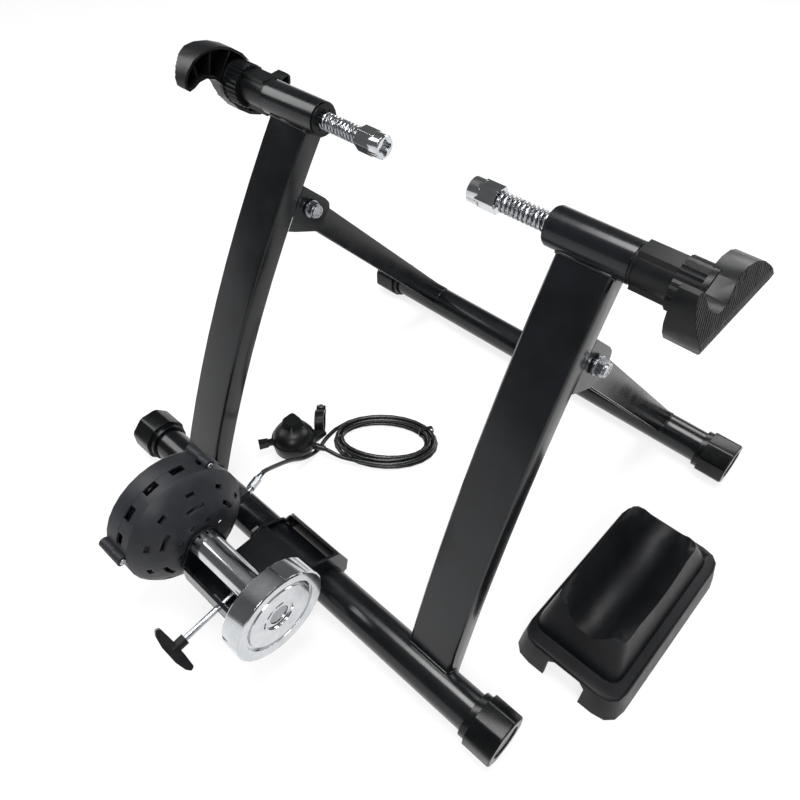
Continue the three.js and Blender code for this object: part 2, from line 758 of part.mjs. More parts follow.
function lever(tilt) {
  const hubStart = collarEnd + seatGap;
  const wingStart = hubStart - leverWingInset;
  const outer = hubStart + leverDepth;
  const outline = leverOutline();
  const blank = common(prismX(outline, wingStart, outer), crestedBlank(wingStart - overrun, outer));
  const pocketOutline = insetLoop(outline, leverWall);
  const pocket = common(
    prismX(pocketOutline, wingStart - overrun, outer),
    crestedBlank(wingStart - 2 * overrun, outer - leverWall),
  );
  const ribs = [0, Math.PI].flatMap((turn) => leverFanAngles.map((degrees) => box(
    wingStart + leverWingInset / 2, outer, 0, leverReach, -leverRib / 2, leverRib / 2,
  ).rotateX(THREE.MathUtils.degToRad(degrees)).translate(0, ...leverFanCentre).rotateX(turn)));
  const inside = common(join(...ribs), prismX(insetLoop(outline, leverWall / 2), wingStart, outer), blank);
  const boss = common(rodX(leverBossRadius, hubStart, outer, 0, 0, 16), crestedBlank(wingStart, outer));
  const collarRoom = rodX(collarDiscRadius + runGap, wingStart - overrun, hubStart, 0, 0, tubeSides);
  const bore = boreTool(wingStart - overrun, outer - leverWall - seatGap);
  return cut(join(cut(blank, pocket), inside, boss), collarRoom, bore).rotateX(tilt);
}

/** The axle cup: a turned end with a hexagon behind it and a recess with four lobes for the axle nut. */
function axleCup() {
  const neckShare = 0.42;
  const neck = cupInner + cupLength * neckShare;
  const front = turnedX([
    [cupInner, 0], [cupInner, cupRadius - 1], [cupInner + 1, cupRadius], [neck, cupRadius], [neck, 0],
  ], 24);
  const hex = prismX(hexPoints(cupHexRadius), neck - overrun, cupInner + cupLength);
  const recessEnd = cupInner + cupRecessDepth;
  const lobes = circlePoints(cupRecessRadius, 4).map(([y, z]) => rodX(cupLobeRadius, cupInner - overrun, recessEnd, y, z, 6));
  const recess = join(rodX(cupRecessRadius, cupInner - overrun, recessEnd, 0, 0, 16), ...lobes);
  const spindleStart = cupInner + cupLength * neckShare + overrun;
  return cut(join(front, hex), recess, boreTool(spindleStart, cupInner + cupLength + overrun));
}

const cupBack = cupInner + cupLength;
const spindleStart = cupInner + cupLength * 0.42 + overrun + seatGap;

function spindleSpring() {
  const from = cupBack + seatGap + springWire;
  const to = sleeveInner - seatGap - bushFlange - seatGap - springWire;
  const stepsPerCurl = 8;
  const count = springCurls * stepsPerCurl;
  const centres = Array.from({ length: count + 1 }, (_, i) => {
    const angle = (i / stepsPerCurl) * 2 * Math.PI;
    const x = THREE.MathUtils.lerp(from, to, i / count);
    return new THREE.Vector3(x, springRadius * Math.cos(angle), springRadius * Math.sin(angle));
  });
  console.log('spring, least gap to itself', leastGap(centres, springWire, stepsPerCurl).toFixed(2));
  return woundTube(centres, springWire, 5);
}

sides.forEach(({ name, turn }) => {
  const clamp = placedGroup(trainer, 0, axleY, axleHeight, turn);
  addPart(clamp, `${name}_clamp_sleeve`, clampSleeve(), powderCoat);
  addPart(clamp, `${name}_spindle_bush`, spindleBush(), blackPlastic);
  addPart(clamp, `${name}_clamp_body`, clampBody(), blackPlastic);
  addPart(clamp, `${name}_lock_collar`, lockCollar(), blackPlastic);
  addPart(clamp, `${name}_clamp_lever`, lever(leverTilt[name]), blackPlastic);
  addPart(clamp, `${name}_spindle`, rodX(spindleRadius, spindleStart, spindleStart + spindleLength), zincSteel);
  addPart(clamp, `${name}_spindle_spring`, spindleSpring(), zincSteel);
  addPart(clamp, `${name}_axle_cup`, axleCup(), chrome);
});

// The bracket on the base tube that carries the resistance unit: two cheeks and a back wall

const cheekOuter = cheekInner + framePlate;
const rightCheek = [[-29, 44], [-27, 56], [-12, 73], [20, 56], [30, 33], [27, 18], [-24, 18]];
const leftCheek = [[-29, 44], [-27, 56], [-12, 58], [10, 46], [26, 36], [27, 18], [-24, 18]];
const backWallLine = [[25, 13], [30, 33], [20, 57]];
const backWallCorner = [[-60, 30], [-44, 36], [-36, 41], [-30, 48], [-26, 58], [-26, 90], [-60, 90]];

function unitMountBracket() {
  const right = prismX(roundedPoints(rightCheek, [4, 8, 9, 6, 4, 0, 0]), cheekInner, cheekOuter);
  const left = prismX(roundedPoints(leftCheek, [4, 8, 9, 9, 4, 0, 0]), -cheekOuter, -cheekInner);
  const inset = framePlate / 2;
  const wall = prismX(bentSheet(backWallLine, framePlate), inset - cheekOuter, cheekOuter - inset);
  const corner = prismY(backWallCorner, tubeRadius - framePlate, rearTubeY);
  const pivotTool = rodX(unitBoltRadius + runGap, -drumRadius, drumRadius, unitPivotY, unitPivotHeight);
  return cut(join(right, left, wall), corner, baseTubeTool, pivotTool);
}

addPart(trainer, 'unit_mount_bracket', unitMountBracket(), powderCoat);

const unitPivot = placedGroup(trainer, 0, unitPivotY, unitPivotHeight);
const boltHeadStart = cheekOuter + seatGap;
const nutEnd = -cheekOuter - seatGap;
const unitBolt = join(
  prismX(hexPoints(pivotHeadFlat), boltHeadStart, boltHeadStart + unitBoltHead),
  rodX(unitBoltRadius, nutEnd - unitNutLength - screwRadius / 2, boltHeadStart + overrun / 2),
);
addPart(unitPivot, 'unit_pivot_bolt', unitBolt, zincSteel);
const unitNut = cut(
  prismX(hexPoints(pivotHeadFlat), nutEnd - unitNutLength, nutEnd),
  rodX(unitBoltRadius + seatGap, nutEnd - unitNutLength - overrun, nutEnd + overrun),
);
addPart(unitPivot, 'unit_pivot_nut', unitNut, zincSteel);

// The swinging frame: a folded web with a front lip, two shaft arms and two pivot ears

const webLine = [[-99.5, 77], [-99.5, 53.6], [-8, 53.2]];
const webNarrowY = -51;
const armOutline = [[-99.5, 54.6], [-99.5, 77], [-87, 99], [-80, 106], [-64, 106], [-57, 99], [-50, 74], [-50, 50.6]];
const armRound = [0, 5, 9, 9, 9, 9, 6, 0];
const screwSlope = Math.atan(0.12);
const screwAlong = new THREE.Vector3(0, Math.cos(screwSlope), Math.sin(screwSlope));
const screwPoint = (y) => new THREE.Vector3(0, y, screwHeightAtLip + (y - trunnionY) * Math.tan(screwSlope));

function rollerFrame() {
  const web = prismX(bentSheet(webLine, framePlate), frameLeft, frameRight);
  const earEdge = cheekInner - runGap;
  const narrow = [
    box(earEdge, drumRadius, webNarrowY, 0, 0, unitHeight), box(-drumRadius, -earEdge, webNarrowY, 0, 0, unitHeight),
  ];
  const arm = roundedPoints(armOutline, armRound);
  const leftArm = prismX(arm, frameLeft, frameLeft + framePlate);
  const rightArm = prismX(arm, frameRight - framePlate, frameRight);
  const ear = circlePoints(earRadius, 16, unitPivotY, unitPivotHeight);
  const leftEar = prismX(ear, -earEdge, -earEdge + framePlate);
  const rightEar = prismX(ear, earEdge - framePlate, earEdge);
  const reach = drumRadius;
  const bearingTool = rodX(bearingRadius + seatGap, -reach, reach, unitY, unitHeight, 20);
  const boltTool = rodX(unitBoltRadius + runGap, -reach, reach, unitPivotY, unitPivotHeight);
  const barrel = trunnionHalf + seatGap;
  const barrelTool = rodX(trunnionRadius + seatGap, -barrel, barrel, trunnionY, screwHeightAtLip);
  const screwTool = rodBetween(screwPoint(screwOuterY), screwPoint(webNarrowY), screwRadius + runGap);
  return cut(join(cut(web, ...narrow), leftArm, rightArm, leftEar, rightEar), bearingTool, boltTool, barrelTool, screwTool);
}

addPart(trainer, 'roller_frame', rollerFrame(), powderCoat);

// Shaft, bearings, roller and flywheel, about the unit's axis

const unit = placedGroup(trainer, 0, unitY, unitHeight);
const onShaft = shaftRadius + seatGap;

const rollerShaft = join(rodX(shaftRadius, shaftLeft, shaftRight), rodX(shaftHeadRadius, shaftHeadStart, shaftRight, 0, 0, 24));
addPart(unit, 'roller_shaft', rollerShaft, machinedSteel);
Object.entries(bearingSpans).forEach(([name, [x0, x1]]) => {
  const ring = turnedX([[x0, onShaft], [x0, bearingRadius], [x1, bearingRadius], [x1, onShaft], [x0, onShaft]], 20);
  addPart(unit, `${name}_bearing`, ring, machinedSteel);
});

const rollerProfile = [
  [rollerLeft, onShaft], [rollerLeft, rollerRadius], [rollerRight, rollerRadius], [rollerRight, onShaft],
  [rollerLeft, onShaft],
];
addPart(unit, 'roller', turnedX(rollerProfile, 32), chrome);

/** The outline of a short arc-shaped slot, given in y and z. */
function arcSlot(inner, outer, start, span, steps = 3) {
  const at = (radius, share) => {
    const angle = THREE.MathUtils.degToRad(start + span * share);
    return [radius * Math.cos(angle), radius * Math.sin(angle)];
  };
  const shares = Array.from({ length: steps + 1 }, (_, i) => i / steps);
  return [...shares.map((share) => at(outer, share)), ...shares.reverse().map((share) => at(inner, share))];
}

function flywheel() {
  const dish = 1.3;
  const groove = 3.7;
  const hubRecess = 3.1;
  const bore = 10;
  const boreDepth = 8.5;
  const edge = 1.2;
  const profile = [
    [flywheelLeft, onShaft], [flywheelLeft, flywheelRadius - edge], [flywheelLeft + edge, flywheelRadius],
    [flywheelRight - edge, flywheelRadius], [flywheelRight, flywheelRadius - edge],
    [flywheelRight - dish, 37.6], [flywheelRight - groove, 37], [flywheelRight - groove, 34.6],
    [flywheelRight - dish, 33.6], [flywheelRight - dish, 15], [flywheelRight - hubRecess, 14.4],
    [flywheelRight - hubRecess, bore], [flywheelRight - boreDepth, bore], [flywheelRight - boreDepth, onShaft],
    [flywheelLeft, onShaft],
  ];
  const slits = [70, 108, 150].map((start) => prismX(
    arcSlot(16.6, 18.6, start, 28), flywheelRight - groove, flywheelRight + overrun,
  ));
  return cut(turnedX(profile, 32), ...slits);
}

addPart(unit, 'flywheel', flywheel(), chrome);

// Brake drum: two moulded shells, the magnets' carrier and the rotor disc between them

const seamFace = drumSeam - seatGap;
const shoulder = -73;
const drumSides = 32;

function bossRing(x0, x1) {
  return drumBossAngles.map((degrees) => {
    const angle = THREE.MathUtils.degToRad(degrees);
    return rodX(drumBossRadius, x0, x1, drumBossPitch * Math.cos(angle), drumBossPitch * Math.sin(angle), 16);
  });
}

function drumOuterShell() {
  const inner = drumRadius - drumWall;
  const shell = turnedX([
    [drumBack, 0], [drumBack, 57], [drumBack + 4, drumRadius - 1], [drumBack + 6, drumRadius], [seamFace, drumRadius],
    [seamFace, inner], [drumBack + 5, inner], [drumBack + drumWall, 56], [drumBack + drumWall, 0],
  ], drumSides);
  const bosses = join(...bossRing(drumBack + 4, seamFace));
  const room = turnedX([[drumBack + drumWall, 0], [drumBack + drumWall, 56], [drumBack + 5, inner], [0, inner], [0, 0]], drumSides);
  const guides = circlePoints(guidePitch, 3).map(([y, z]) => rodX(guideRadius, drumBack + 1, guideEnd, y, z, 12));
  return join(shell, cut(bosses, room), ...guides);
}

/** The block moulded on the drum that stops the cable's jacket. */
const stopBlock = { x0: -76, x1: -68, y0: -17, y1: -2, z0: 71, z1: 81 };
const barrelStart = new THREE.Vector3(-71, -2, 76);
const barrelEnd = new THREE.Vector3(-80, 22, 73);
const barrelAlong = barrelEnd.clone().sub(barrelStart).normalize();

function drumInnerShell() {
  const inner = drumRadius - drumWall;
  const face = drumHubFace;
  const shell = turnedX([
    [face, drumHoleRadius], [face, drumHubRadius], [face - 8, 48], [face - 17, 59],
    [shoulder, drumRadius], [drumSeam, drumRadius], [drumSeam, inner], [shoulder - 1, inner],
    [face - 19, 57], [face - 10.4, 47], [face - drumWall, 31], [face - drumWall, drumHoleRadius],
    [face, drumHoleRadius],
  ], drumSides);
  const { x0, x1, y0, y1, z0, z1 } = stopBlock;
  const block = box(x0, x1, y0 - unitY, y1 - unitY, z0 - unitHeight, z1 - unitHeight);
  const room = turnedX([[drumSeam - overrun, 0], [drumSeam - overrun, inner], [shoulder - 1, inner], [shoulder, 0]], drumSides);
  const solid = join(shell, cut(join(...bossRing(drumSeam, shoulder - 3)), room), block);
  const faceSlots = [
    ...Array.from({ length: 6 }, (_, i) => arcSlot(38.5, 42.5, 60 * i + 8, 26, 2)),
    ...Array.from({ length: 10 }, (_, i) => arcSlot(50, 54, 36 * i + 4, 9, 1)),
    ...Array.from({ length: 8 }, (_, i) => arcSlot(21, 25.5, 45 * i + 4, 13, 1)),
  ].map((outline) => prismX(outline, shoulder + 3, 0));
  const notches = Array.from({ length: drumNotches }, (_, i) => box(
    drumSeam - overrun, drumSeam + 7.5, -7, 7, inner - overrun, drumRadius + overrun,
  ).rotateX(((i + 0.5) / drumNotches) * 2 * Math.PI));
  const from = barrelStart.clone().addScaledVector(barrelAlong, -seatGap);
  const clear = rodBetween(from, barrelEnd, drumBossRadius + overrun).translate(0, -unitY, -unitHeight);
  return cut(solid, ...faceSlots, ...notches, clear);
}

addPart(unit, 'drum_outer_shell', drumOuterShell(), drumPlastic);
addPart(unit, 'drum_inner_shell', drumInnerShell(), drumPlastic);

const rotorEnd = rotorStart + rotorThickness;
const rotorProfile = [
  [rotorStart, onShaft], [rotorStart, rotorRadius], [rotorEnd, rotorRadius], [rotorEnd, 14], [rotorEnd + 8, 14],
  [rotorEnd + 8, onShaft], [rotorStart, onShaft],
];
addPart(unit, 'rotor_disc', turnedX(rotorProfile, 32), aluminium);
const guideHoles = circlePoints(guidePitch, 3).map(([y, z]) => circlePoints(guideRadius + seatGap, 12, y, z));
const carrierRing = prismX(
  circlePoints(carrierRadius, 32), carrierStart, carrierStart + carrierThickness,
  [circlePoints(carrierBore, 32), ...guideHoles],
);
addPart(unit, 'magnet_carrier', carrierRing, zincSteel);

// Barrel adjuster on the drum's cable stop

function barrelAdjuster() {
  const length = barrelEnd.distanceTo(barrelStart);
  const at = (share) => barrelStart.clone().addScaledVector(barrelAlong, length * share);
  const collar = rodBetween(at(0), at(0.16), 4, 12);
  const neck = rodBetween(at(0.1), at(0.3), 2.8, 12);
  const knurl = rodBetween(at(0.25), at(0.78), 4.7, 8);
  const tip = rodBetween(at(0.7), at(1), 3.3, 12);
  return join(collar, neck, knurl, tip);
}

addPart(trainer, 'barrel_adjuster', barrelAdjuster(), zincSteel);

// The screw with the T-handle that presses the roller to the tyre, and the barrel it turns in

const screwShaft = (grow) => rodBetween(screwPoint(screwOuterY), screwPoint(screwInnerY), screwRadius + grow);
const barrelNut = cut(
  rodX(trunnionRadius, -trunnionHalf, trunnionHalf, trunnionY, screwHeightAtLip), screwShaft(runGap),
);
addPart(trainer, 'adjuster_trunnion', barrelNut, zincSteel);
addPart(trainer, 'adjuster_rod', screwShaft(0), zincSteel);

function gripBar() {
  const outline = roundedPoints([
    [-23, -4], [-25, 0], [-20, 3.2], [-9, 5.4], [9, 5.4], [20, 3.2], [25, 0], [23, -4], [8, -5], [-8, -5],
  ], 2, 2);
  const bar = prismZ(outline, -gripThickness / 2, gripThickness / 2);
  const hubLength = 14;
  const hub = new THREE.CylinderGeometry(gripHubRadius, gripHubRadius, hubLength, 16).translate(0, -hubLength / 2, 0);
  const hole = new THREE.CylinderGeometry(screwRadius + seatGap, screwRadius + seatGap, hubLength + overrun, 16);
  return cut(join(bar, hub), hole.translate(0, -hubLength / 2 - overrun / 2 - 1 + seatGap, 0));
}

const gripOut = screwAlong.clone().negate();
const gripAcross = new THREE.Vector3(Math.cos(gripTilt), 0, -Math.sin(gripTilt));
gripAcross.addScaledVector(gripOut, -gripAcross.dot(gripOut)).normalize();
const gripFrame = new THREE.Matrix4().makeBasis(gripAcross, gripOut, gripAcross.clone().cross(gripOut));
const grip = new THREE.Group();
grip.position.copy(screwPoint(screwOuterY)).addScaledVector(gripOut, 0.7);
grip.quaternion.setFromRotationMatrix(gripFrame);
trainer.add(grip);
addPart(grip, 'adjuster_grip', gripBar(), blackPlastic);

// Riser block for the front wheel: a hollow moulding with a flared skirt and a cradled top

const at = (z) => (a, b) => new THREE.Vector3(a, b, z);

function roundedStation([x0, x1, y0, y1], radius, z) {
  const corners = [[x0, y0], [x1, y0], [x1, y1], [x0, y1]];
  return { outline: roundedPoints(corners, radius, 3), at: at(z) };
}

const shrink = ([x0, x1, y0, y1], by) => [x0 + by, x1 - by, y0 + by, y1 - by];
const blockBase = [213, 327, 82, 298];
const blockRim = [217, 322, 85, 292];
const blockWaist = [220, 312, 100, 284];
const blockTop = [229, 300, 114, 255];
const cradleSection = [[9, 0], [17, 8], [24, 17], [31, 22.5], [38, 27], [60, 38]];
const blockNotch = [[251, -2], [251, 24], [257, 30], [284, 30], [290, 24], [290, -2]];

const cradleSides = 60;

function riserBlock() {
  const skirt = loft([
    roundedStation(blockBase, 22, 0), roundedStation(blockRim, 20, blockRimHeight - 1.5),
    roundedStation(shrink(blockRim, 1.5), 19, blockRimHeight),
  ]);
  const tower = loft([
    roundedStation(blockWaist, 14, blockRimHeight - overrun), roundedStation(blockTop, 11, blockHornHeight),
  ]);
  const under = loft([
    roundedStation(shrink(blockBase, blockWall), 19, -overrun),
    roundedStation(shrink(blockRim, blockWall), 17, blockRimHeight - blockWall),
  ]);
  const middle = (blockWaist[2] + blockWaist[3]) / 2 - 6;
  const cradle = (grow) => {
    const half = cradleSection.map(([across, rise]) => [across + grow, blockCradleRadius + grow - rise]);
    const other = half.map(([across, radius]) => [-across, radius]).reverse();
    const [widest] = half.at(-1);
    const wheel = turnedX([[-widest, 0], ...other, ...half, [widest, 0]], cradleSides);
    return wheel.translate(blockCradleX, middle, blockCradleLow + blockCradleRadius);
  };
  const room = loft([
    roundedStation(shrink(blockWaist, blockWall), 11, blockRimHeight - blockWall - overrun),
    roundedStation(shrink(blockTop, blockWall), 8, blockHornHeight - blockWall),
  ]);
  const notch = prismY(blockNotch, blockBase[2] - overrun, blockWaist[2] + blockWall);
  return cut(join(skirt, tower), under, cut(room, cradle(blockWall)), cradle(0), notch);
}

addPart(trainer, 'riser_block', riserBlock(), blackPlastic);

// Remote shifter, standing on the ring that clamps it to a handlebar

function turnedZ(profile, count = 26) {
  return new THREE.LatheGeometry(profile.map(([z, r]) => new THREE.Vector2(r, z)), count).rotateX(Math.PI / 2);
}

const shifter = placedGroup(trainer, shifterX, shifterY, 0);

function shifterBody() {
  const housing = turnedZ([
    [shifterFloor, 0], [shifterFloor, shifterRadius - 5], [shifterFloor + 3.5, shifterRadius - 1],
    [shifterSlotLow, shifterRadius], [shifterSlotLow, shifterPost], [shifterSlotHigh, shifterPost],
    [shifterSlotHigh, shifterRadius - 0.5], [26, 23], [31.5, 19.5], [35, 13], [36, 6], [36, 0],
  ]);
  const cap = loft([roundedStation(shifterCapFoot, 7, 26), roundedStation(shifterCapTop, 4, shifterCapHeight)]);
  const neck = box(...shifterNeck);
  const away = [clampRingX - shifterX, clampRingY - shifterY, clampRingHeight];
  const ring = rodX(clampRingRadius + seatGap, -shifterRadius, shifterRadius, 0, 0, 32)
    .rotateZ(clampRingTurn)
    .translate(...away);
  return join(cut(join(housing, neck), ring), cap);
}

function shifterLever() {
  const low = shifterSlotLow + runGap;
  const high = shifterSlotHigh - runGap;
  const disc = prismZ(circlePoints(shifterRadius + shifterDiscRim, 30), low, high);
  const arm = prismZ([[0, -6], [shifterPadStart, -3.5], [shifterPadStart, 3.5], [0, 6]], low, high);
  const pad = prismZ(
    [[shifterPadStart - overrun, -3.6], [shifterPadEnd, -4.6], [shifterPadEnd, 4.6], [shifterPadStart - overrun, 3.6]],
    low - shifterPadRise, high + shifterPadRise,
  );
  const hole = prismZ(circlePoints(shifterPost + runGap, 24), 0, blockHornHeight);
  return cut(join(disc, arm, pad), hole).rotateZ(shifterLeverAngle);
}

function shifterClampBand() {
  const half = clampRingWidth / 2;
  const ring = rodX(clampRingRadius, -half, half, 0, 0, 28);
  const ears = box(-half, half, clampRingBore, clampRingRadius + 8, -5, 5);
  const slot = box(-half - overrun, half + overrun, clampRingBore - overrun, clampRingRadius + 8 + overrun, -1.6, 1.6);
  const bore = rodX(clampRingBore, -half - overrun, half + overrun, 0, 0, 28);
  const hole = prismZ(circlePoints(1.6 + seatGap, 12, 0, clampRingRadius + 4.4), -clampRingRadius, clampRingRadius);
  return cut(join(ring, ears), bore, slot, hole);
}

const clampScrew = join(
  prismZ(circlePoints(1.6, 12), -6.5, 5 + seatGap + 1), prismZ(circlePoints(3.2, 16), 5 + seatGap, 5 + seatGap + 2.4),
);
addPart(shifter, 'shifter_body', shifterBody(), blackPlastic);
addPart(shifter, 'shifter_lever', shifterLever(), blackPlastic);
const clampRing = placedGroup(trainer, clampRingX, clampRingY, clampRingHeight, clampRingTurn);
addPart(clampRing, 'shifter_clamp_band', shifterClampBand(), blackPlastic);
const screwPlace = placedGroup(clampRing, 0, clampRingRadius + 4.4, 0);
addPart(screwPlace, 'shifter_clamp_screw', clampScrew, zincSteel);

// The remote cable: up from the floor to the drum, a coil put away on the floor, and on to the shifter

const coilLongAxis = new THREE.Vector3(Math.cos(coilTurn), Math.sin(coilTurn), 0);
const coilShortAxis = new THREE.Vector3(-Math.sin(coilTurn), Math.cos(coilTurn), 0);
const coilSteps = 24;
const coilClimbTurns = 0.5;
const coilTurns = coilTurnsIn + coilClimbTurns + coilTurnsOut;
const smooth = (share) => share * share * (3 - 2 * share);

/** One point of the coil's centre line, which spirals in, climbs a layer in half a turn and spirals out. */
function coilPoint(turn) {
  const climb = THREE.MathUtils.clamp((turn - coilTurnsIn) / coilClimbTurns, 0, 1);
  const inward = Math.min(turn, coilTurnsIn) * coilPitch;
  const outward = Math.max(turn - coilTurnsIn - coilClimbTurns, 0) * coilPitch;
  const inset = inward - outward + coilDip * Math.sin(climb * Math.PI);
  const angle = coilStart - turn * 2 * Math.PI;
  return new THREE.Vector3(coilX, coilY, cableRest + smooth(climb) * coilPitch)
    .addScaledVector(coilLongAxis, (coilLongHalf - inset) * Math.cos(angle))
    .addScaledVector(coilShortAxis, (coilShortHalf - inset) * Math.sin(angle));
}

const coilCount = Math.round(coilTurns * coilSteps);
const coilCentres = Array.from({ length: coilCount + 1 }, (_, i) => coilPoint((i / coilCount) * coilTurns));
console.log('cable coil, least gap to itself', leastGap(coilCentres, cableRadius, coilSteps).toFixed(2));

/** A free stretch of cable through its points, with straight ends as long as the cable is thick. */
function cableStretch(points, count, lead, tail) {
  const first = points[0];
  const last = points.at(-1);
  const straight = 2 * cableRadius;
  const head = lead ? [first, first.clone().addScaledVector(lead, straight)] : [first];
  const end = tail ? [last.clone().addScaledVector(tail, -straight), last] : [last];
  const route = [...head, ...points.slice(1, -1), ...end];
  const curve = new THREE.CatmullRomCurve3(route, false, 'centripetal');
  return woundTube(curve.getSpacedPoints(count), cableRadius, 8);
}

const coilLead = coilCentres[1].clone().sub(coilCentres[0]).normalize();
const coilTail = coilCentres.at(-1).clone().sub(coilCentres.at(-2)).normalize();
const runEnd = coilCentres[0].clone().addScaledVector(coilLead, -seatGap);
const runStart = barrelEnd.clone().addScaledVector(barrelAlong, seatGap);
const runPoints = [
  runStart, new THREE.Vector3(-93, 55, 50), new THREE.Vector3(-101, 78, 30), new THREE.Vector3(-104.2, 100, 12),
  new THREE.Vector3(-107, 122, 4), new THREE.Vector3(-113.5, 142, cableRest), runEnd,
];
addPart(trainer, 'cable_run', cableStretch(runPoints, 26, barrelAlong, coilLead), cableJacket);
addPart(trainer, 'cable_coil', woundTube(coilCentres, cableRadius, 6), cableJacket);

const entryAngle = THREE.MathUtils.degToRad(26);
const entryOut = new THREE.Vector3(Math.cos(entryAngle), Math.sin(entryAngle), 0);
const entryHeight = 11.5;
const entry = new THREE.Vector3(shifterX, shifterY, entryHeight).addScaledVector(entryOut, shifterRadius + seatGap);
const tailStart = coilCentres.at(-1).clone().addScaledVector(coilTail, seatGap);
const tailPoints = [tailStart, new THREE.Vector3(-76, 131, 9), new THREE.Vector3(-96, 125, 12), entry];
addPart(trainer, 'cable_tail', cableStretch(tailPoints, 12, coilTail, entryOut.clone().negate()), cableJacket);

// The whole part stands on the floor with its origin under the middle of everything but the cable

const extent = new THREE.Box3();
trainer.updateMatrixWorld(true);
trainer.traverse((node) => {
  if (node.isMesh && !cordNames.includes(node.name)) extent.expandByObject(node, true);
});
const middle = extent.getCenter(new THREE.Vector3());
trainer.position.set(-middle.x, -middle.y, -extent.min.z);
console.log('moved by', trainer.position.toArray().map((value) => value.toFixed(3)).join(' '));

export default trainer;
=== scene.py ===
"""Looks of a folding turbo trainer: its finishes, cable, springs and small fittings.

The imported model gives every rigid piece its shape. This script gives each of them its
real finish, makes the pieces that are wound or too small for the model, and sets the
camera where the photographer stood. The classes hold their sizes in millimetres of the
workshop drawing, and place() turns a point of it into the model's frame, in metres.
"""

import json
import logging
import math
from dataclasses import dataclass, field
from enum import Enum
from typing import Callable, Iterable, Sequence

import bpy
from mathutils import Matrix, Vector

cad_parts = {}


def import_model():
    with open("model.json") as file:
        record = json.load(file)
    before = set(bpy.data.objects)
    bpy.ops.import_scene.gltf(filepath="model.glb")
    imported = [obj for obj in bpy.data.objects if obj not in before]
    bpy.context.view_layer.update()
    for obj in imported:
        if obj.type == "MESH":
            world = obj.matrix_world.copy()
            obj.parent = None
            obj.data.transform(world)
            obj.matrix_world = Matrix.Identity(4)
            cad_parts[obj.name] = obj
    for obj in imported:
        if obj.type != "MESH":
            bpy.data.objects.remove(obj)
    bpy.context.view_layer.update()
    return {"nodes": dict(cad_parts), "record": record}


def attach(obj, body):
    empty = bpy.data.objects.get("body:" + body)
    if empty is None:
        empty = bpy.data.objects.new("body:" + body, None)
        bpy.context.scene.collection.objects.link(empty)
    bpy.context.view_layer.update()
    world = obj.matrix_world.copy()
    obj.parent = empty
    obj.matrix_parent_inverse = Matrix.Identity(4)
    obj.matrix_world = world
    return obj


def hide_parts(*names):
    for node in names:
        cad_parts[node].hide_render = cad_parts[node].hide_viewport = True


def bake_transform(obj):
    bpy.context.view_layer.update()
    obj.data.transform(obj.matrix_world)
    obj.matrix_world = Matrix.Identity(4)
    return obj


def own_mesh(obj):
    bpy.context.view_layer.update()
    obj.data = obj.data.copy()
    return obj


log = logging.getLogger("trainer")
MM = 0.001
# The drawing starts in the middle of the base tube; the model starts under its own middle.
SHIFT = Vector((-26.75, -145.155, 0.0))
# The axes of the floor tubes and of the axle clamps, as distance from the base tube and height.
BASE_AXLE = (0.0, 24.5)
REAR_AXLE = (422.0, 24.5)
CLAMP_AXLE = (183.5, 391.0)
TUBE_RADIUS = 19.05
SLEEVE_RADIUS = 15.6
# Corners closer together than this, in millimetres, are one corner.
SAME_SPOT = 0.005
# A face's normal is along an axis when its share of that axis is above this.
FACES_AXIS = 0.9
# Two heights or places that differ by less than this, in metres, are level.
LEVEL = 1e-5


def place(x: float, y: float, z: float) -> Vector:
    """Turns a point of the workshop drawing, in millimetres, into the model's frame.

    Args:
        x: Distance along the floor tubes.
        y: Distance from the base tube towards the rear leg.
        z: Height above the floor.

    Returns:
        The point in metres.
    """
    return (Vector((x, y, z)) + SHIFT) * MM


def linear(code: str) -> tuple[float, float, float, float]:
    """Turns an sRGB hex colour into the linear colour that a shader reads.

    Args:
        code: The colour as six hex digits.

    Returns:
        Red, green, blue and an alpha of one.
    """
    parts = [int(code[i:i + 2], 16) / 255 for i in (0, 2, 4)]
    done = [c / 12.92 if c <= 0.04045 else ((c + 0.055) / 1.055) ** 2.4 for c in parts]
    return (done[0], done[1], done[2], 1.0)


def add_node(tree: bpy.types.NodeTree, kind: str, sockets: dict | None = None, **settings) -> bpy.types.Node:
    """Adds a node, sets its properties and fills or links its inputs.

    Args:
        tree: The node tree to add to.
        kind: The node's type name.
        sockets: Input name or number to a value, or to an output socket to link from.
        **settings: Properties of the node itself.

    Returns:
        The new node.
    """
    node = tree.nodes.new(kind)
    for key, value in settings.items():
        setattr(node, key, value)
    for key, value in (sockets or {}).items():
        if isinstance(value, bpy.types.NodeSocket):
            tree.links.new(value, node.inputs[key])
        else:
            node.inputs[key].default_value = value
    return node


# Finishes


class Grain(Enum):
    """How a surface was made, which sets the pattern of its relief."""

    PEEL = "orange peel of a powder coat"
    SPARK = "spark-eroded mould grain"
    TURNED = "fine rings left by a lathe"
    DRAWN = "long streaks left by drawing or extruding"
    CAST = "mottle of zinc plate"


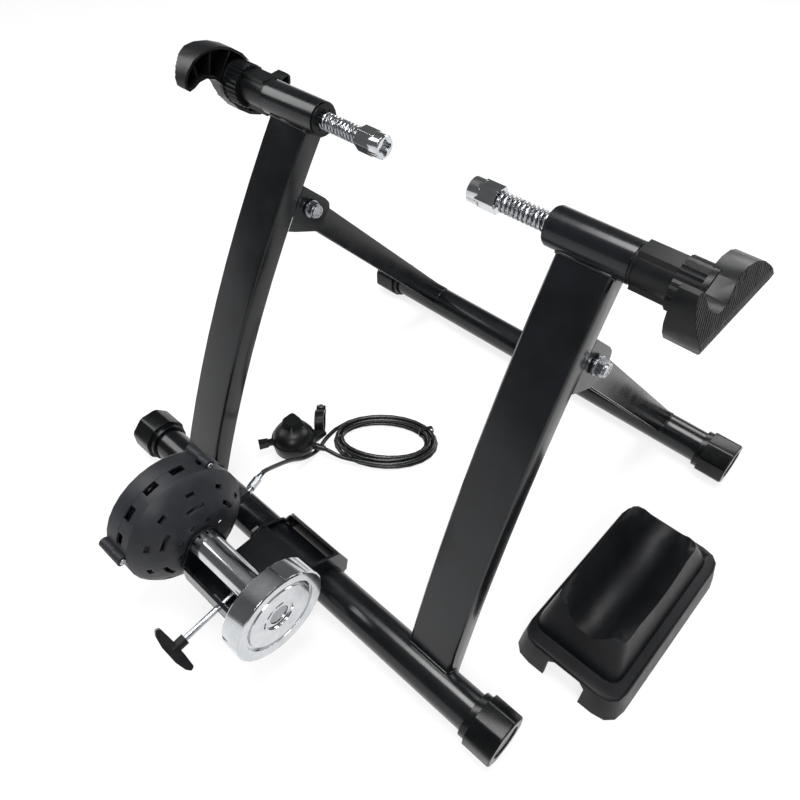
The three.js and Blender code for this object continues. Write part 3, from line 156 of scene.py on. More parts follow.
@dataclass(frozen=True)
class Finish:
    """One real finish, from which its material is made."""

    title: str
    colour: str
    tint: str
    roughness: float
    spread: float
    metallic: float
    grain: Grain
    grain_mm: float
    relief_mm: float
    mottle_mm: float = 45.0
    edge_mm: float = 0.5
    ior: float = 1.5
    gloss: float = 0.5
    stretch: tuple[float, float, float] = (1.0, 1.0, 1.0)

    def material(self) -> bpy.types.Material:
        """Makes the finish's material, or finds it if it was made before.

        Returns:
            The material, the same one each time.
        """
        found = bpy.data.materials.get(self.title)
        if found is not None:
            return found
        made = bpy.data.materials.new(self.title)
        made.use_nodes = True
        tree = made.node_tree
        tree.nodes.clear()
        spot = add_node(tree, "ShaderNodeTexCoord").outputs["Object"]
        shader = add_node(tree, "ShaderNodeBsdfPrincipled", {
            "Base Color": self.coloured(tree, spot),
            "Roughness": self.roughened(tree, spot),
            "Metallic": self.metallic,
            "Normal": self.relief(tree, spot),
        })
        if self.metallic < 0.5:
            shader.inputs["IOR"].default_value = self.ior
            shader.inputs["Specular IOR Level"].default_value = self.gloss
        add_node(tree, "ShaderNodeOutputMaterial", {"Surface": shader.outputs["BSDF"]})
        return made

    def coloured(self, tree: bpy.types.NodeTree, spot: bpy.types.NodeSocket) -> bpy.types.NodeSocket:
        """Mixes the colour with its tint in broad, soft patches.

        Args:
            tree: The material's node tree.
            spot: The position to read.

        Returns:
            The colour socket.
        """
        cloud = add_node(tree, "ShaderNodeTexNoise", {
            "Vector": spot, "Scale": 1 / (self.mottle_mm * MM), "Detail": 4.0, "Roughness": 0.6,
        })
        ramp = add_node(tree, "ShaderNodeMapRange", {
            "Value": cloud.outputs["Fac"], "From Min": 0.35, "From Max": 0.65,
        })
        mixed = add_node(tree, "ShaderNodeMix", data_type="RGBA")
        tree.links.new(ramp.outputs["Result"], mixed.inputs["Factor"])
        mixed.inputs[6].default_value = linear(self.colour)
        mixed.inputs[7].default_value = linear(self.tint)
        return mixed.outputs[2]

    def roughened(self, tree: bpy.types.NodeTree, spot: bpy.types.NodeSocket) -> bpy.types.NodeSocket:
        """Varies the roughness, as handling and dust do.

        Args:
            tree: The material's node tree.
            spot: The position to read.

        Returns:
            The roughness socket.
        """
        smear = add_node(tree, "ShaderNodeTexNoise", {
            "Vector": spot, "Scale": 1 / (0.3 * self.mottle_mm * MM), "Detail": 5.0, "Roughness": 0.65,
        })
        ramp = add_node(tree, "ShaderNodeMapRange", {
            "Value": smear.outputs["Fac"], "From Min": 0.3, "From Max": 0.7,
            "To Min": self.roughness - self.spread, "To Max": self.roughness + self.spread,
        })
        return ramp.outputs["Result"]

    def relief(self, tree: bpy.types.NodeTree, spot: bpy.types.NodeSocket) -> bpy.types.NodeSocket:
        """Raises the grain on edges that are slightly rounded.

        Args:
            tree: The material's node tree.
            spot: The position to read.

        Returns:
            The normal socket.
        """
        soft_edge = add_node(tree, "ShaderNodeBevel", {"Radius": self.edge_mm * MM}, samples=4)
        bump = add_node(tree, "ShaderNodeBump", {
            "Height": self.pattern(tree, spot), "Distance": self.relief_mm * MM, "Strength": 1.0,
            "Normal": soft_edge.outputs["Normal"],
        })
        return bump.outputs["Normal"]

    def pattern(self, tree: bpy.types.NodeTree, spot: bpy.types.NodeSocket) -> bpy.types.NodeSocket:
        """Draws the grain itself.

        Args:
            tree: The material's node tree.
            spot: The position to read.

        Returns:
            The height socket.
        """
        turned = add_node(tree, "ShaderNodeMapping", {"Vector": spot, "Scale": self.stretch})
        detail = {Grain.PEEL: 1.0, Grain.SPARK: 3.0, Grain.TURNED: 2.0, Grain.DRAWN: 3.0, Grain.CAST: 4.0}
        noise = add_node(tree, "ShaderNodeTexNoise", {
            "Vector": turned.outputs["Vector"], "Scale": 1 / (self.grain_mm * MM),
            "Detail": detail[self.grain], "Roughness": 0.5,
        })
        return noise.outputs["Fac"]


# Powder coat over steel: a satin, slightly pebbled black skin with soft highlights.
POWDER_COAT = Finish(
    "powder_coated_steel", "08090b", "0f1114", 0.2, 0.04, 0.0, Grain.PEEL, 1.6, 0.008,
    edge_mm=0.8, gloss=0.4,
)
# Glass-filled nylon: a duller black with a fine mould grain.
NYLON = Finish(
    "glass_filled_nylon", "090a0b", "101113", 0.36, 0.06, 0.0, Grain.SPARK, 0.7, 0.014, gloss=0.22,
)
# The ABS of the drum: a charcoal that scatters more light.
DRUM_ABS = Finish(
    "spark_grained_abs", "191a1e", "222328", 0.46, 0.06, 0.0, Grain.SPARK, 0.8, 0.02,
    edge_mm=0.6, gloss=0.3,
)
# Polypropylene of the riser block: matt with a slight sheen.
BLOCK_PP = Finish(
    "moulded_polypropylene", "090a0c", "101114", 0.4, 0.06, 0.0, Grain.SPARK, 0.9, 0.02,
    edge_mm=1.2, gloss=0.17,
)
# The foot caps' soft PVC: glossy black.
FOOT_PVC = Finish(
    "soft_pvc", "060708", "0c0d0e", 0.26, 0.06, 0.0, Grain.SPARK, 1.5, 0.01,
    edge_mm=0.9, gloss=0.22,
)
# Chrome plate on turned steel: a mirror with faint streaks left by the polishing belt.
CHROME = Finish(
    "chrome_plated_steel", "d2d4d6", "c1c4c7", 0.1, 0.03, 1.0, Grain.TURNED, 0.5, 0.003,
    mottle_mm=18.0, stretch=(0.04, 1.0, 1.0),
)
# Bright zinc plate on fasteners and spindles.
ZINC = Finish(
    "zinc_plated_steel", "b4b7bb", "a2a5aa", 0.26, 0.06, 1.0, Grain.CAST, 1.2, 0.002, mottle_mm=6.0,
)
# Ground steel of the shaft and the bearings.
GROUND = Finish(
    "ground_steel", "9fa1a4", "8c8f92", 0.26, 0.06, 1.0, Grain.TURNED, 0.4, 0.003,
    stretch=(1.0, 0.05, 0.05),
)
# Milled aluminium of the brake's rotor.
ALUMINIUM = Finish(
    "milled_aluminium", "b2b4b6", "a0a2a5", 0.36, 0.06, 1.0, Grain.TURNED, 0.5, 0.004,
    stretch=(1.0, 0.05, 0.05),
)
# Extruded PVC jacket of the brake cable.
JACKET = Finish(
    "extruded_cable_jacket", "0c0d0e", "151618", 0.26, 0.05, 0.0, Grain.DRAWN, 0.9, 0.01,
    edge_mm=0.1, gloss=0.45,
)
# Bare steel wire of the springs.
SPRING_WIRE = Finish(
    "drawn_spring_wire", "b4b6b9", "9ea1a4", 0.24, 0.06, 1.0, Grain.DRAWN, 0.5, 0.004, edge_mm=0.1,
)


# Workshop helpers


def deselect() -> None:
    """Leaves nothing selected."""
    if bpy.context.object is not None and bpy.context.object.mode != "OBJECT":
        bpy.ops.object.mode_set(mode="OBJECT")
    bpy.ops.object.select_all(action="DESELECT")


def pick(piece: bpy.types.Object) -> None:
    """Selects one object alone and makes it active.

    Args:
        piece: The object to work on.
    """
    deselect()
    piece.select_set(True)
    bpy.context.view_layer.objects.active = piece


def settle(
    piece: bpy.types.Object, finish: Finish, body: str, angle: float = 35.0,
) -> bpy.types.Object:
    """Moves a piece's place into its mesh, smooths it and fastens it to its body.

    Args:
        piece: The finished mesh object.
        finish: What it is made of.
        body: The model's body that carries it.
        angle: Edges flatter than this many degrees are shaded smooth.

    Returns:
        The same object.
    """
    pick(piece)
    bpy.ops.object.transform_apply(location=True, rotation=True, scale=True)
    bpy.ops.object.shade_smooth_by_angle(angle=math.radians(angle))
    piece.data.materials.clear()
    piece.data.materials.append(finish.material())
    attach(piece, body)
    log.info("%s rides on %s", piece.name, body)
    return piece


def swept_tube(name: str, centres: Sequence[Vector], radius: float, sides: int) -> bpy.types.Object:
    """Makes one closed round tube along a line of points.

    Args:
        name: The object's name.
        centres: The centre line.
        radius: The tube's radius.
        sides: How many faces go round it.

    Returns:
        The new object, in place.
    """
    rings: list[Vector] = []
    normal = None
    for index, centre in enumerate(centres):
        ahead = centres[min(index + 1, len(centres) - 1)]
        behind = centres[max(index - 1, 0)]
        along = (ahead - behind).normalized()
        if normal is None:
            normal = Vector((0, 0, 1)) if abs(along.z) < 0.7 else Vector((1, 0, 0))
        normal = (normal - along * normal.dot(along)).normalized()
        side = along.cross(normal)
        for k in range(sides):
            angle = 2 * math.pi * k / sides
            rings.append(centre + (normal * math.cos(angle) + side * math.sin(angle)) * radius)
    faces: list[tuple[int, ...]] = []
    for i in range(len(centres) - 1):
        for k in range(sides):
            a, b = i * sides + k, i * sides + (k + 1) % sides
            faces.append((a, b, b + sides, a + sides))
    faces.append(tuple(reversed(range(sides))))
    faces.append(tuple(range((len(centres) - 1) * sides, len(centres) * sides)))
    mesh = bpy.data.meshes.new(name)
    mesh.from_pydata([tuple(p) for p in rings], [], faces)
    mesh.update()
    piece = bpy.data.objects.new(name, mesh)
    bpy.context.scene.collection.objects.link(piece)
    return piece


def smooth_route(points: Sequence[Vector], count: int) -> list[Vector]:
    """Rounds a route of points into one smooth line with even steps.

    Args:
        points: The points that the line passes through.
        count: How many steps it is divided into.

    Returns:
        The points of the line, one more than the steps.
    """
    padded = [points[0] * 2 - points[1], *points, points[-1] * 2 - points[-2]]
    fine: list[Vector] = []
    for p0, p1, p2, p3 in zip(padded, padded[1:], padded[2:], padded[3:]):
        knots = [0.0]
        for a, b in ((p0, p1), (p1, p2), (p2, p3)):
            knots.append(knots[-1] + max((b - a).length, 1e-9) ** 0.5)
        for step in range(24):
            t = knots[1] + (knots[2] - knots[1]) * step / 24
            a1 = p0.lerp(p1, (t - knots[0]) / (knots[1] - knots[0]))
            a2 = p1.lerp(p2, (t - knots[1]) / (knots[2] - knots[1]))
            a3 = p2.lerp(p3, (t - knots[2]) / (knots[3] - knots[2]))
            b1 = a1.lerp(a2, (t - knots[0]) / (knots[2] - knots[0]))
            b2 = a2.lerp(a3, (t - knots[1]) / (knots[3] - knots[1]))
            fine.append(b1.lerp(b2, (t - knots[1]) / (knots[2] - knots[1])))
    fine.append(points[-1].copy())
    lengths = [0.0]
    for a, b in zip(fine, fine[1:]):
        lengths.append(lengths[-1] + (b - a).length)
    even: list[Vector] = []
    at = 0
    for step in range(count + 1):
        wanted = lengths[-1] * step / count
        while at < len(fine) - 2 and lengths[at + 1] < wanted:
            at += 1
        span = lengths[at + 1] - lengths[at]
        even.append(fine[at].lerp(fine[at + 1], (wanted - lengths[at]) / span))
    return even


# Camera, floor and light


@dataclass
class Studio:
    """The photographer's place: the camera, a pale floor and soft lamps."""

    eye: tuple[float, float, float] = (339.26, -217.51, 678.0)
    yaw: float = 42.52
    pitch: float = 46.67
    roll: float = 0.26
    lens_mm: float = 32.234
    floor_colour: str = "f4f4f4"
    floor_size: float = 12000.0
    floor_drop: float = 0.4
    floor_glow: float = 0.78
    room_light: float = 0.55
    aim: tuple[float, float, float] = (0.0, 140.0, 150.0)
    lamps: list[tuple[str, tuple[float, float, float], float, float]] = field(default_factory=lambda: [
        ("key", (900.0, -900.0, 1600.0), 0.7, 18.0),
        ("fill", (-1300.0, -300.0, 1300.0), 0.8, 12.0),
        ("back", (200.0, 1700.0, 1200.0), 0.8, 14.0),
        ("overhead", (0.0, 150.0, 1900.0), 0.8, 26.0),
    ])
    wall_levels: tuple[tuple[float, float], ...] = (
        (0.0, 1.0), (0.05, 0.4), (0.14, 0.14), (0.7, 0.12), (1.0, 0.4),
    )

    def camera(self) -> None:
        """Sets the camera at the photograph's viewing angle."""
        data = bpy.data.cameras.new("camera")
        data.sensor_width = 36.0
        data.lens = self.lens_mm
        data.clip_start, data.clip_end = 0.02, 20.0
        camera = bpy.data.objects.new("camera", data)
        bpy.context.scene.collection.objects.link(camera)
        turn = (
            Matrix.Rotation(math.radians(self.yaw), 4, "Z")
            @ Matrix.Rotation(math.radians(90 - self.pitch), 4, "X")
            @ Matrix.Rotation(math.radians(self.roll), 4, "Z")
        )
        camera.matrix_world = Matrix.Translation(place(*self.eye)) @ turn
        bpy.context.scene.camera = camera

    def backdrop(self, tree: bpy.types.NodeTree) -> bpy.types.NodeSocket:
        """Tells where the camera or a reflection sees the background itself.

        Args:
            tree: The node tree to add to.

        Returns:
            One where it is seen, zero where it only lights.
        """
        path = add_node(tree, "ShaderNodeLightPath")
        either = add_node(tree, "ShaderNodeMath", {
            0: path.outputs["Is Camera Ray"], 1: path.outputs["Is Glossy Ray"],
        }, operation="MAXIMUM")
        seen = add_node(tree, "ShaderNodeMath", {
            0: either.outputs[0], 1: path.outputs["Is Transmission Ray"],
        }, operation="MAXIMUM")
        return seen.outputs[0]

    def surroundings(self, tree: bpy.types.NodeTree) -> bpy.types.NodeSocket:
        """Keeps the background white, and lets reflections see dark walls and a dim ceiling above it.

        Args:
            tree: The world's node tree.

        Returns:
            The background's strength.
        """
        way = add_node(tree, "ShaderNodeTexCoord").outputs["Generated"]
        height = add_node(tree, "ShaderNodeSeparateXYZ", {0: way}).outputs["Z"]
        ramp = add_node(tree, "ShaderNodeValToRGB", {"Fac": height})
        steps = ramp.color_ramp.elements
        while len(steps) < len(self.wall_levels):
            steps.new(1.0)
        for step, (position, level) in zip(steps, self.wall_levels):
            step.position = position
            step.color = (level, level, level, 1.0)
        path = add_node(tree, "ShaderNodeLightPath")
        shown = add_node(tree, "ShaderNodeMath", {
            0: path.outputs["Is Camera Ray"], 1: ramp.outputs["Color"],
        }, operation="MAXIMUM")
        return shown.outputs[0]

    def world(self) -> None:
        """Lights the room evenly and shows it white behind the object."""
        world = bpy.data.worlds.new("studio")
        world.use_nodes = True
        tree = world.node_tree
        tree.nodes.clear()
        dim = add_node(tree, "ShaderNodeBackground", {
            "Color": linear("ffffff"), "Strength": self.room_light,
        })
        white = add_node(tree, "ShaderNodeBackground", {
            "Color": linear("ffffff"), "Strength": self.surroundings(tree),
        })
        mixed = add_node(tree, "ShaderNodeMixShader", {
            0: self.backdrop(tree), 1: dim.outputs[0], 2: white.outputs[0],
        })
        add_node(tree, "ShaderNodeOutputWorld", {"Surface": mixed.outputs[0]})
        bpy.context.scene.world = world

    def floor(self) -> None:
        """Lays the pale floor, which keeps a soft shadow."""
        deselect()
        bpy.ops.mesh.primitive_plane_add(
            size=self.floor_size * MM, location=(0.0, 0.0, -self.floor_drop * MM),
        )
        floor = bpy.context.object
        floor.name = "floor"
        material = bpy.data.materials.new("pale_paper")
        material.use_nodes = True
        tree = material.node_tree
        tree.nodes.clear()
        matt = add_node(tree, "ShaderNodeBsdfDiffuse", {"Color": linear(self.floor_colour)})
        glow = add_node(tree, "ShaderNodeEmission", {"Color": linear("ffffff"), "Strength": 1.0})
        part = add_node(tree, "ShaderNodeMath", {
            0: self.backdrop(tree), 1: self.floor_glow,
        }, operation="MULTIPLY")
        mixed = add_node(tree, "ShaderNodeMixShader", {
            0: part.outputs[0], 1: matt.outputs[0], 2: glow.outputs[0],
        })
        add_node(tree, "ShaderNodeOutputMaterial", {"Surface": mixed.outputs[0]})
        floor.data.materials.append(material)

    def light(self) -> None:
        """Hangs the soft lamps round the object."""
        aim = place(*self.aim)
        for name, spot, size, power in self.lamps:
            data = bpy.data.lights.new(name, "AREA")
            data.shape, data.size, data.energy = "SQUARE", size, power
            lamp = bpy.data.objects.new(name, data)
            bpy.context.scene.collection.objects.link(lamp)
            lamp.location = place(*spot)
            lamp.rotation_mode = "QUATERNION"
            lamp.rotation_quaternion = (aim - lamp.location).to_track_quat("-Z", "Y")

    def build(self) -> None:
        """Sets up the whole studio."""
        self.camera()
        self.world()
        self.floor()
        self.light()


# The remote cable


@dataclass
class RemoteCable:
    """The brake cable from the drum to the shifter, with its spare length coiled on the floor."""

    radius: float = 2.5
    rest: float = 3.0
    centre: tuple[float, float] = (-57.0, 187.0)
    long_half: float = 65.5
    short_half: float = 42.5
    turn: float = math.radians(38.0)
    start: float = math.radians(152.7)
    pitch: float = 5.75
    turns_in: float = 2.35
    turns_out: float = 1.88
    climb_turns: float = 0.5
    dip: float = 1.6
    steps: int = 24
    stop: tuple[float, float, float] = (-71.0, -2.0, 76.0)
    outlet: tuple[float, float, float] = (-80.0, 22.0, 73.0)
    run: list[tuple[float, float, float]] = field(default_factory=lambda: [
        (-93.0, 55.0, 50.0), (-101.0, 78.0, 30.0), (-104.2, 100.0, 12.0),
        (-107.0, 122.0, 4.0), (-113.5, 142.0, 3.0),
    ])
    tail: list[tuple[float, float, float]] = field(default_factory=lambda: [
        (-76.0, 131.0, 9.0), (-96.0, 125.0, 12.0),
    ])
    entry_centre: tuple[float, float, float] = (-133.5, 108.0, 11.5)
    entry_radius: float = 25.3
    entry_angle: float = math.radians(26.0)
    seat_gap: float = 0.3
    straight: float = 5.0
    run_steps: int = 26
    tail_steps: int = 12
    sides: int = 14
    bends_from: tuple[float, float, float] = (-107.0, 108.0, 8.0)
    bends_to: tuple[float, float, float] = (-83.0, 30.0, 68.0)

    def total_turns(self) -> float:
        """Counts all the coil's turns."""
        return self.turns_in + self.climb_turns + self.turns_out

    def entry_way(self) -> Vector:
        """Gives the level direction in which the cable leaves the shifter."""
        return Vector((math.cos(self.entry_angle), math.sin(self.entry_angle), 0.0))

    def coil_point(self, turn: float) -> Vector:
        """Finds one point of the coil, in drawing millimetres.

        Args:
            turn: How many turns from the coil's start.

        Returns:
            The point on the centre line.
        """
        climb = min(max((turn - self.turns_in) / self.climb_turns, 0.0), 1.0)
        inward = min(turn, self.turns_in) * self.pitch
        outward = max(turn - self.turns_in - self.climb_turns, 0.0) * self.pitch
        inset = inward - outward + self.dip * math.sin(climb * math.pi)
        angle = self.start - turn * 2 * math.pi
        along = Vector((math.cos(self.turn), math.sin(self.turn), 0.0))
        across = Vector((-math.sin(self.turn), math.cos(self.turn), 0.0))
        height = self.rest + climb * climb * (3 - 2 * climb) * self.pitch
        middle = Vector((self.centre[0], self.centre[1], height))
        return (
            middle
            + along * ((self.long_half - inset) * math.cos(angle))
            + across * ((self.short_half - inset) * math.sin(angle))
        )

    def route(self) -> list[Vector]:
        """Lays the cable's whole centre line, from the drum to the shifter.

        Returns:
            The points of the line, in the model's frame.
        """
        total = self.total_turns()
        count = round(total * self.steps)
        coil = [self.coil_point(i / count * total) for i in range(count + 1)]
        outlet = Vector(self.outlet)
        lead = (outlet - Vector(self.stop)).normalized()
        first = outlet + lead * self.seat_gap
        enters = (coil[1] - coil[0]).normalized()
        leaves = (coil[-1] - coil[-2]).normalized()
        spliced = self.straight + self.seat_gap
        down = [
            first, first + lead * self.straight, *map(Vector, self.run),
            coil[0] - enters * spliced, coil[0],
        ]
        out = self.entry_way()
        entry = Vector(self.entry_centre) + out * self.entry_radius
        on = [
            coil[-1], coil[-1] + leaves * spliced, *map(Vector, self.tail),
            entry + out * self.straight, entry,
        ]
        whole = smooth_route(down, self.run_steps)[:-1] + coil + smooth_route(on, self.tail_steps)[1:]
        return [place(*point) for point in whole]

    def build(self) -> None:
        points = self.route()
        jacket = swept_tube("remote_cable", points, self.radius * MM, self.sides)
        jacket.data.materials.append(JACKET.material())
        for face in jacket.data.polygons:
            face.use_smooth = len(face.vertices) == 4
        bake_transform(jacket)
        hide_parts("cable_run", "cable_coil", "cable_tail")


@dataclass
class CableBoot:
    """The soft tapered sleeve that keeps the cable from kinking where it enters the shifter."""

    cable: RemoteCable
    length: float = 15.0
    wide: float = 4.4
    narrow: float = 3.0
    ring: float = 0.5
    rings: int = 4
    sides: int = 28
    softening: float = 0.25
    seat_gap: float = 0.2

    def build(self) -> None:
        """Draws a cylinder out into a taper and swells rings on it."""
        deselect()
        step = self.length * MM / (2 * self.rings)
        bpy.ops.mesh.primitive_cylinder_add(vertices=self.sides, radius=self.wide * MM, depth=step)
        boot = bpy.context.object
        boot.name = "cable_boot"
        top = step / 2
        self.pick_end(boot, top)
        spans = 2 * self.rings - 1
        for number in range(1, spans + 1):
            share = number / spans
            radius = self.wide + (self.narrow - self.wide) * share
            before = self.wide + (self.narrow - self.wide) * (number - 1) / spans
            grown = radius + (self.ring if number % 2 == 0 else 0.0)
            older = before + (self.ring if number % 2 == 1 and number > 1 else 0.0)
            bpy.ops.mesh.extrude_region_move(TRANSFORM_OT_translate={"value": (0.0, 0.0, step)})
            factor = grown / older
            bpy.ops.transform.resize(value=(factor, factor, 1.0))
        bpy.ops.object.mode_set(mode="OBJECT")
        soft = boot.modifiers.new("soften", "BEVEL")
        soft.width, soft.segments, soft.limit_method = self.softening * MM, 2, "ANGLE"
        pick(boot)
        bpy.ops.object.modifier_apply(modifier=soft.name)
        out = self.cable.entry_way()
        start = Vector(self.cable.entry_centre) + out * (self.cable.entry_radius + self.seat_gap)
        boot.location = place(*start) + out * top
        boot.rotation_euler = (0.0, math.pi / 2, self.cable.entry_angle)
        settle(boot, JACKET, "main_frame")

    @staticmethod
    def pick_end(piece: bpy.types.Object, height: float) -> None:
        """Selects the flat end of a piece at one height, in edit mode.

        Args:
            piece: The object to select on.
            height: The end's height, in metres.
        """
        pick(piece)
        bpy.ops.object.mode_set(mode="EDIT")
        bpy.ops.mesh.select_all(action="DESELECT")
        bpy.ops.object.mode_set(mode="OBJECT")
        for face in piece.data.polygons:
            face.select = face.normal.z > FACES_AXIS and abs(face.center.z - height) < LEVEL
        bpy.ops.object.mode_set(mode="EDIT")


@dataclass
class CoilTie:
    """The thin strap that holds the coil's turns together."""

    cable: RemoteCable
    turn: float = 0.34
    band: float = 5.0
    wall: float = 0.4
    side_room: float = 0.9
    corner: float = 3.0
    corner_steps: int = 5

    def build(self) -> None:
        """Opens a box into a band, rounds it and gives it its wall."""
        cable = self.cable
        laps = math.ceil(cable.total_turns())
        turns = [self.turn + lap for lap in range(laps) if self.turn + lap < cable.total_turns()]
        points = [cable.coil_point(value) for value in turns]
        centre = Vector((cable.centre[0], cable.centre[1], 0.0))
        reach = [(Vector((p.x, p.y, 0.0)) - centre).length for p in points]
        middle = (min(reach) + max(reach)) / 2
        width = max(reach) - min(reach) + 2 * (cable.radius + self.side_room)
        outward = (Vector((points[0].x, points[0].y, 0.0)) - centre).normalized()
        low = cable.rest - cable.radius
        high = cable.rest + cable.pitch + cable.radius + self.wall
        deselect()
        bpy.ops.mesh.primitive_cube_add(size=1.0)
        tie = bpy.context.object
        tie.name = "coil_tie"
        tie.scale = (width * MM, self.band * MM, (high - low) * MM)
        bpy.ops.object.transform_apply(location=False, rotation=False, scale=True)
        bpy.ops.object.mode_set(mode="EDIT")
        bpy.ops.mesh.select_mode(type="FACE")
        bpy.ops.mesh.select_all(action="DESELECT")
        bpy.ops.object.mode_set(mode="OBJECT")
        for face in tie.data.polygons:
            face.select = abs(face.normal.y) > FACES_AXIS
        bpy.ops.object.mode_set(mode="EDIT")
        bpy.ops.mesh.delete(type="FACE")
        bpy.ops.mesh.select_mode(type="EDGE")
        bpy.ops.mesh.select_all(action="DESELECT")
        bpy.ops.object.mode_set(mode="OBJECT")
        for edge in tie.data.edges:
            a, b = (tie.data.vertices[i].co for i in edge.vertices)
            edge.select = abs(a.y - b.y) > LEVEL
        bpy.ops.object.mode_set(mode="EDIT")
        bpy.ops.mesh.bevel(offset=self.corner * MM, segments=self.corner_steps)
        bpy.ops.object.mode_set(mode="OBJECT")
        wall = tie.modifiers.new("wall", "SOLIDIFY")
        wall.thickness, wall.offset = self.wall * MM, 1.0
        pick(tie)
        bpy.ops.object.modifier_apply(modifier=wall.name)
        tie.rotation_euler = (0.0, 0.0, math.atan2(outward.y, outward.x))
        spot = centre + outward * middle
        tie.location = place(spot.x, spot.y, (low + high) / 2)
        settle(tie, JACKET, "main_frame")


# Axle clamps


@dataclass
class SpindleSpring:
    """The wound spring of one axle clamp, which pushes its cup inwards."""

    side: str
    sign: int
    axle: tuple[float, float] = CLAMP_AXLE
    start: float = 74.4
    end: float = 118.2
    wire: float = 1.1
    coil_radius: float = 6.9
    curls: int = 11
    steps: int = 20
    sides: int = 10
    seat: float = 119.3
    room: float = 46.0
    room_drawn: float = 26.0

    def build(self) -> None:
        """Winds the spring round its spindle, from its inner end to its outer end."""
        count = self.curls * self.steps
        points = []
        for i in range(count + 1):
            angle = 2 * math.pi * i / self.steps
            x = self.start + (self.end - self.start) * i / count
            points.append(place(
                self.sign * x,
                self.axle[0] + self.sign * self.coil_radius * math.cos(angle),
                self.axle[1] + self.coil_radius * math.sin(angle),
            ))
        spring = swept_tube(f"{self.side}_spring_wound", points, self.wire * MM, self.sides)
        settle(spring, SPRING_WIRE, "main_frame")
        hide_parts(f"{self.side}_spindle_spring")
        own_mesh(spring)


@dataclass
class GripRibs:
    """The fine grip ribs moulded across one lever's outer face."""

    side: str
    sign: int
    lever: bpy.types.Object
    turn: float = 0.0
    axle: tuple[float, float] = CLAMP_AXLE
    pitch: float = 2.6
    width: float = 1.2
    height: float = 0.75
    sunk_share: float = 0.45
    reach: float = 64.0
    span: float = 76.0
    bar_depth: float = 60.0
    bar_place: float = 258.0
    outer_normal: float = 0.35

    def face_skin(self) -> bpy.types.Object:
        """Copies the lever's outer face and gives it the ribs' height.

        Returns:
            A closed plate that lies on the face.
        """
        skin = bpy.data.objects.new(f"{self.side}_grip_ribs", self.lever.data.copy())
        bpy.context.scene.collection.objects.link(skin)
        pick(skin)
        bpy.ops.object.mode_set(mode="EDIT")
        bpy.ops.mesh.select_all(action="SELECT")
        bpy.ops.mesh.remove_doubles(threshold=SAME_SPOT * MM)
        bpy.ops.mesh.select_mode(type="FACE")
        bpy.ops.mesh.select_all(action="DESELECT")
        bpy.ops.object.mode_set(mode="OBJECT")
        for face in skin.data.polygons:
            face.select = face.normal.x * self.sign < self.outer_normal
        bpy.ops.object.mode_set(mode="EDIT")
        bpy.ops.mesh.delete(type="FACE")
        bpy.ops.object.mode_set(mode="OBJECT")
        plate = skin.modifiers.new("plate", "SOLIDIFY")
        plate.thickness = self.height * MM
        plate.offset = 1.0 - 2 * self.sunk_share
        pick(skin)
        bpy.ops.object.modifier_apply(modifier=plate.name)
        return skin

    def comb(self) -> bpy.types.Object:
        """Makes the row of bars that the plate is cut to.

        Returns:
            The bars, in place, as one object.
        """
        deselect()
        bpy.ops.mesh.primitive_cube_add(size=1.0)
        bar = bpy.context.object
        bar.name = "comb"
        bar.scale = (self.bar_depth * MM, self.width * MM, self.span * MM)
        bpy.ops.object.transform_apply(location=False, rotation=False, scale=True)
        count = 2 * int(self.reach / self.pitch) + 1
        row = bar.modifiers.new("row", "ARRAY")
        row.use_relative_offset = False
        row.use_constant_offset = True
        row.constant_offset_displace = (0.0, self.pitch * MM, 0.0)
        row.count = count
        pick(bar)
        bpy.ops.object.modifier_apply(modifier=row.name)
        bpy.ops.object.mode_set(mode="EDIT")
        bpy.ops.mesh.select_all(action="SELECT")
        bpy.ops.transform.translate(value=(0.0, -self.pitch * MM * (count - 1) / 2, 0.0))
        bpy.ops.object.mode_set(mode="OBJECT")
        bar.rotation_euler = (self.turn, 0.0, 0.0)
        bar.location = place(self.sign * self.bar_place, *self.axle)
        return bar

    def build(self) -> None:
        """Cuts the plate into ribs and fastens them to the lever's body."""
        ribs = self.face_skin()
        bars = self.comb()
        trim = ribs.modifiers.new("trim", "BOOLEAN")
        trim.operation, trim.solver, trim.object = "INTERSECT", "EXACT", bars
        trim.use_self = True
        pick(ribs)
        bpy.ops.object.modifier_apply(modifier=trim.name)
        bpy.data.objects.remove(bars)
        settle(ribs, NYLON, f"{self.side}_handle", angle=50.0)


# Brake drum


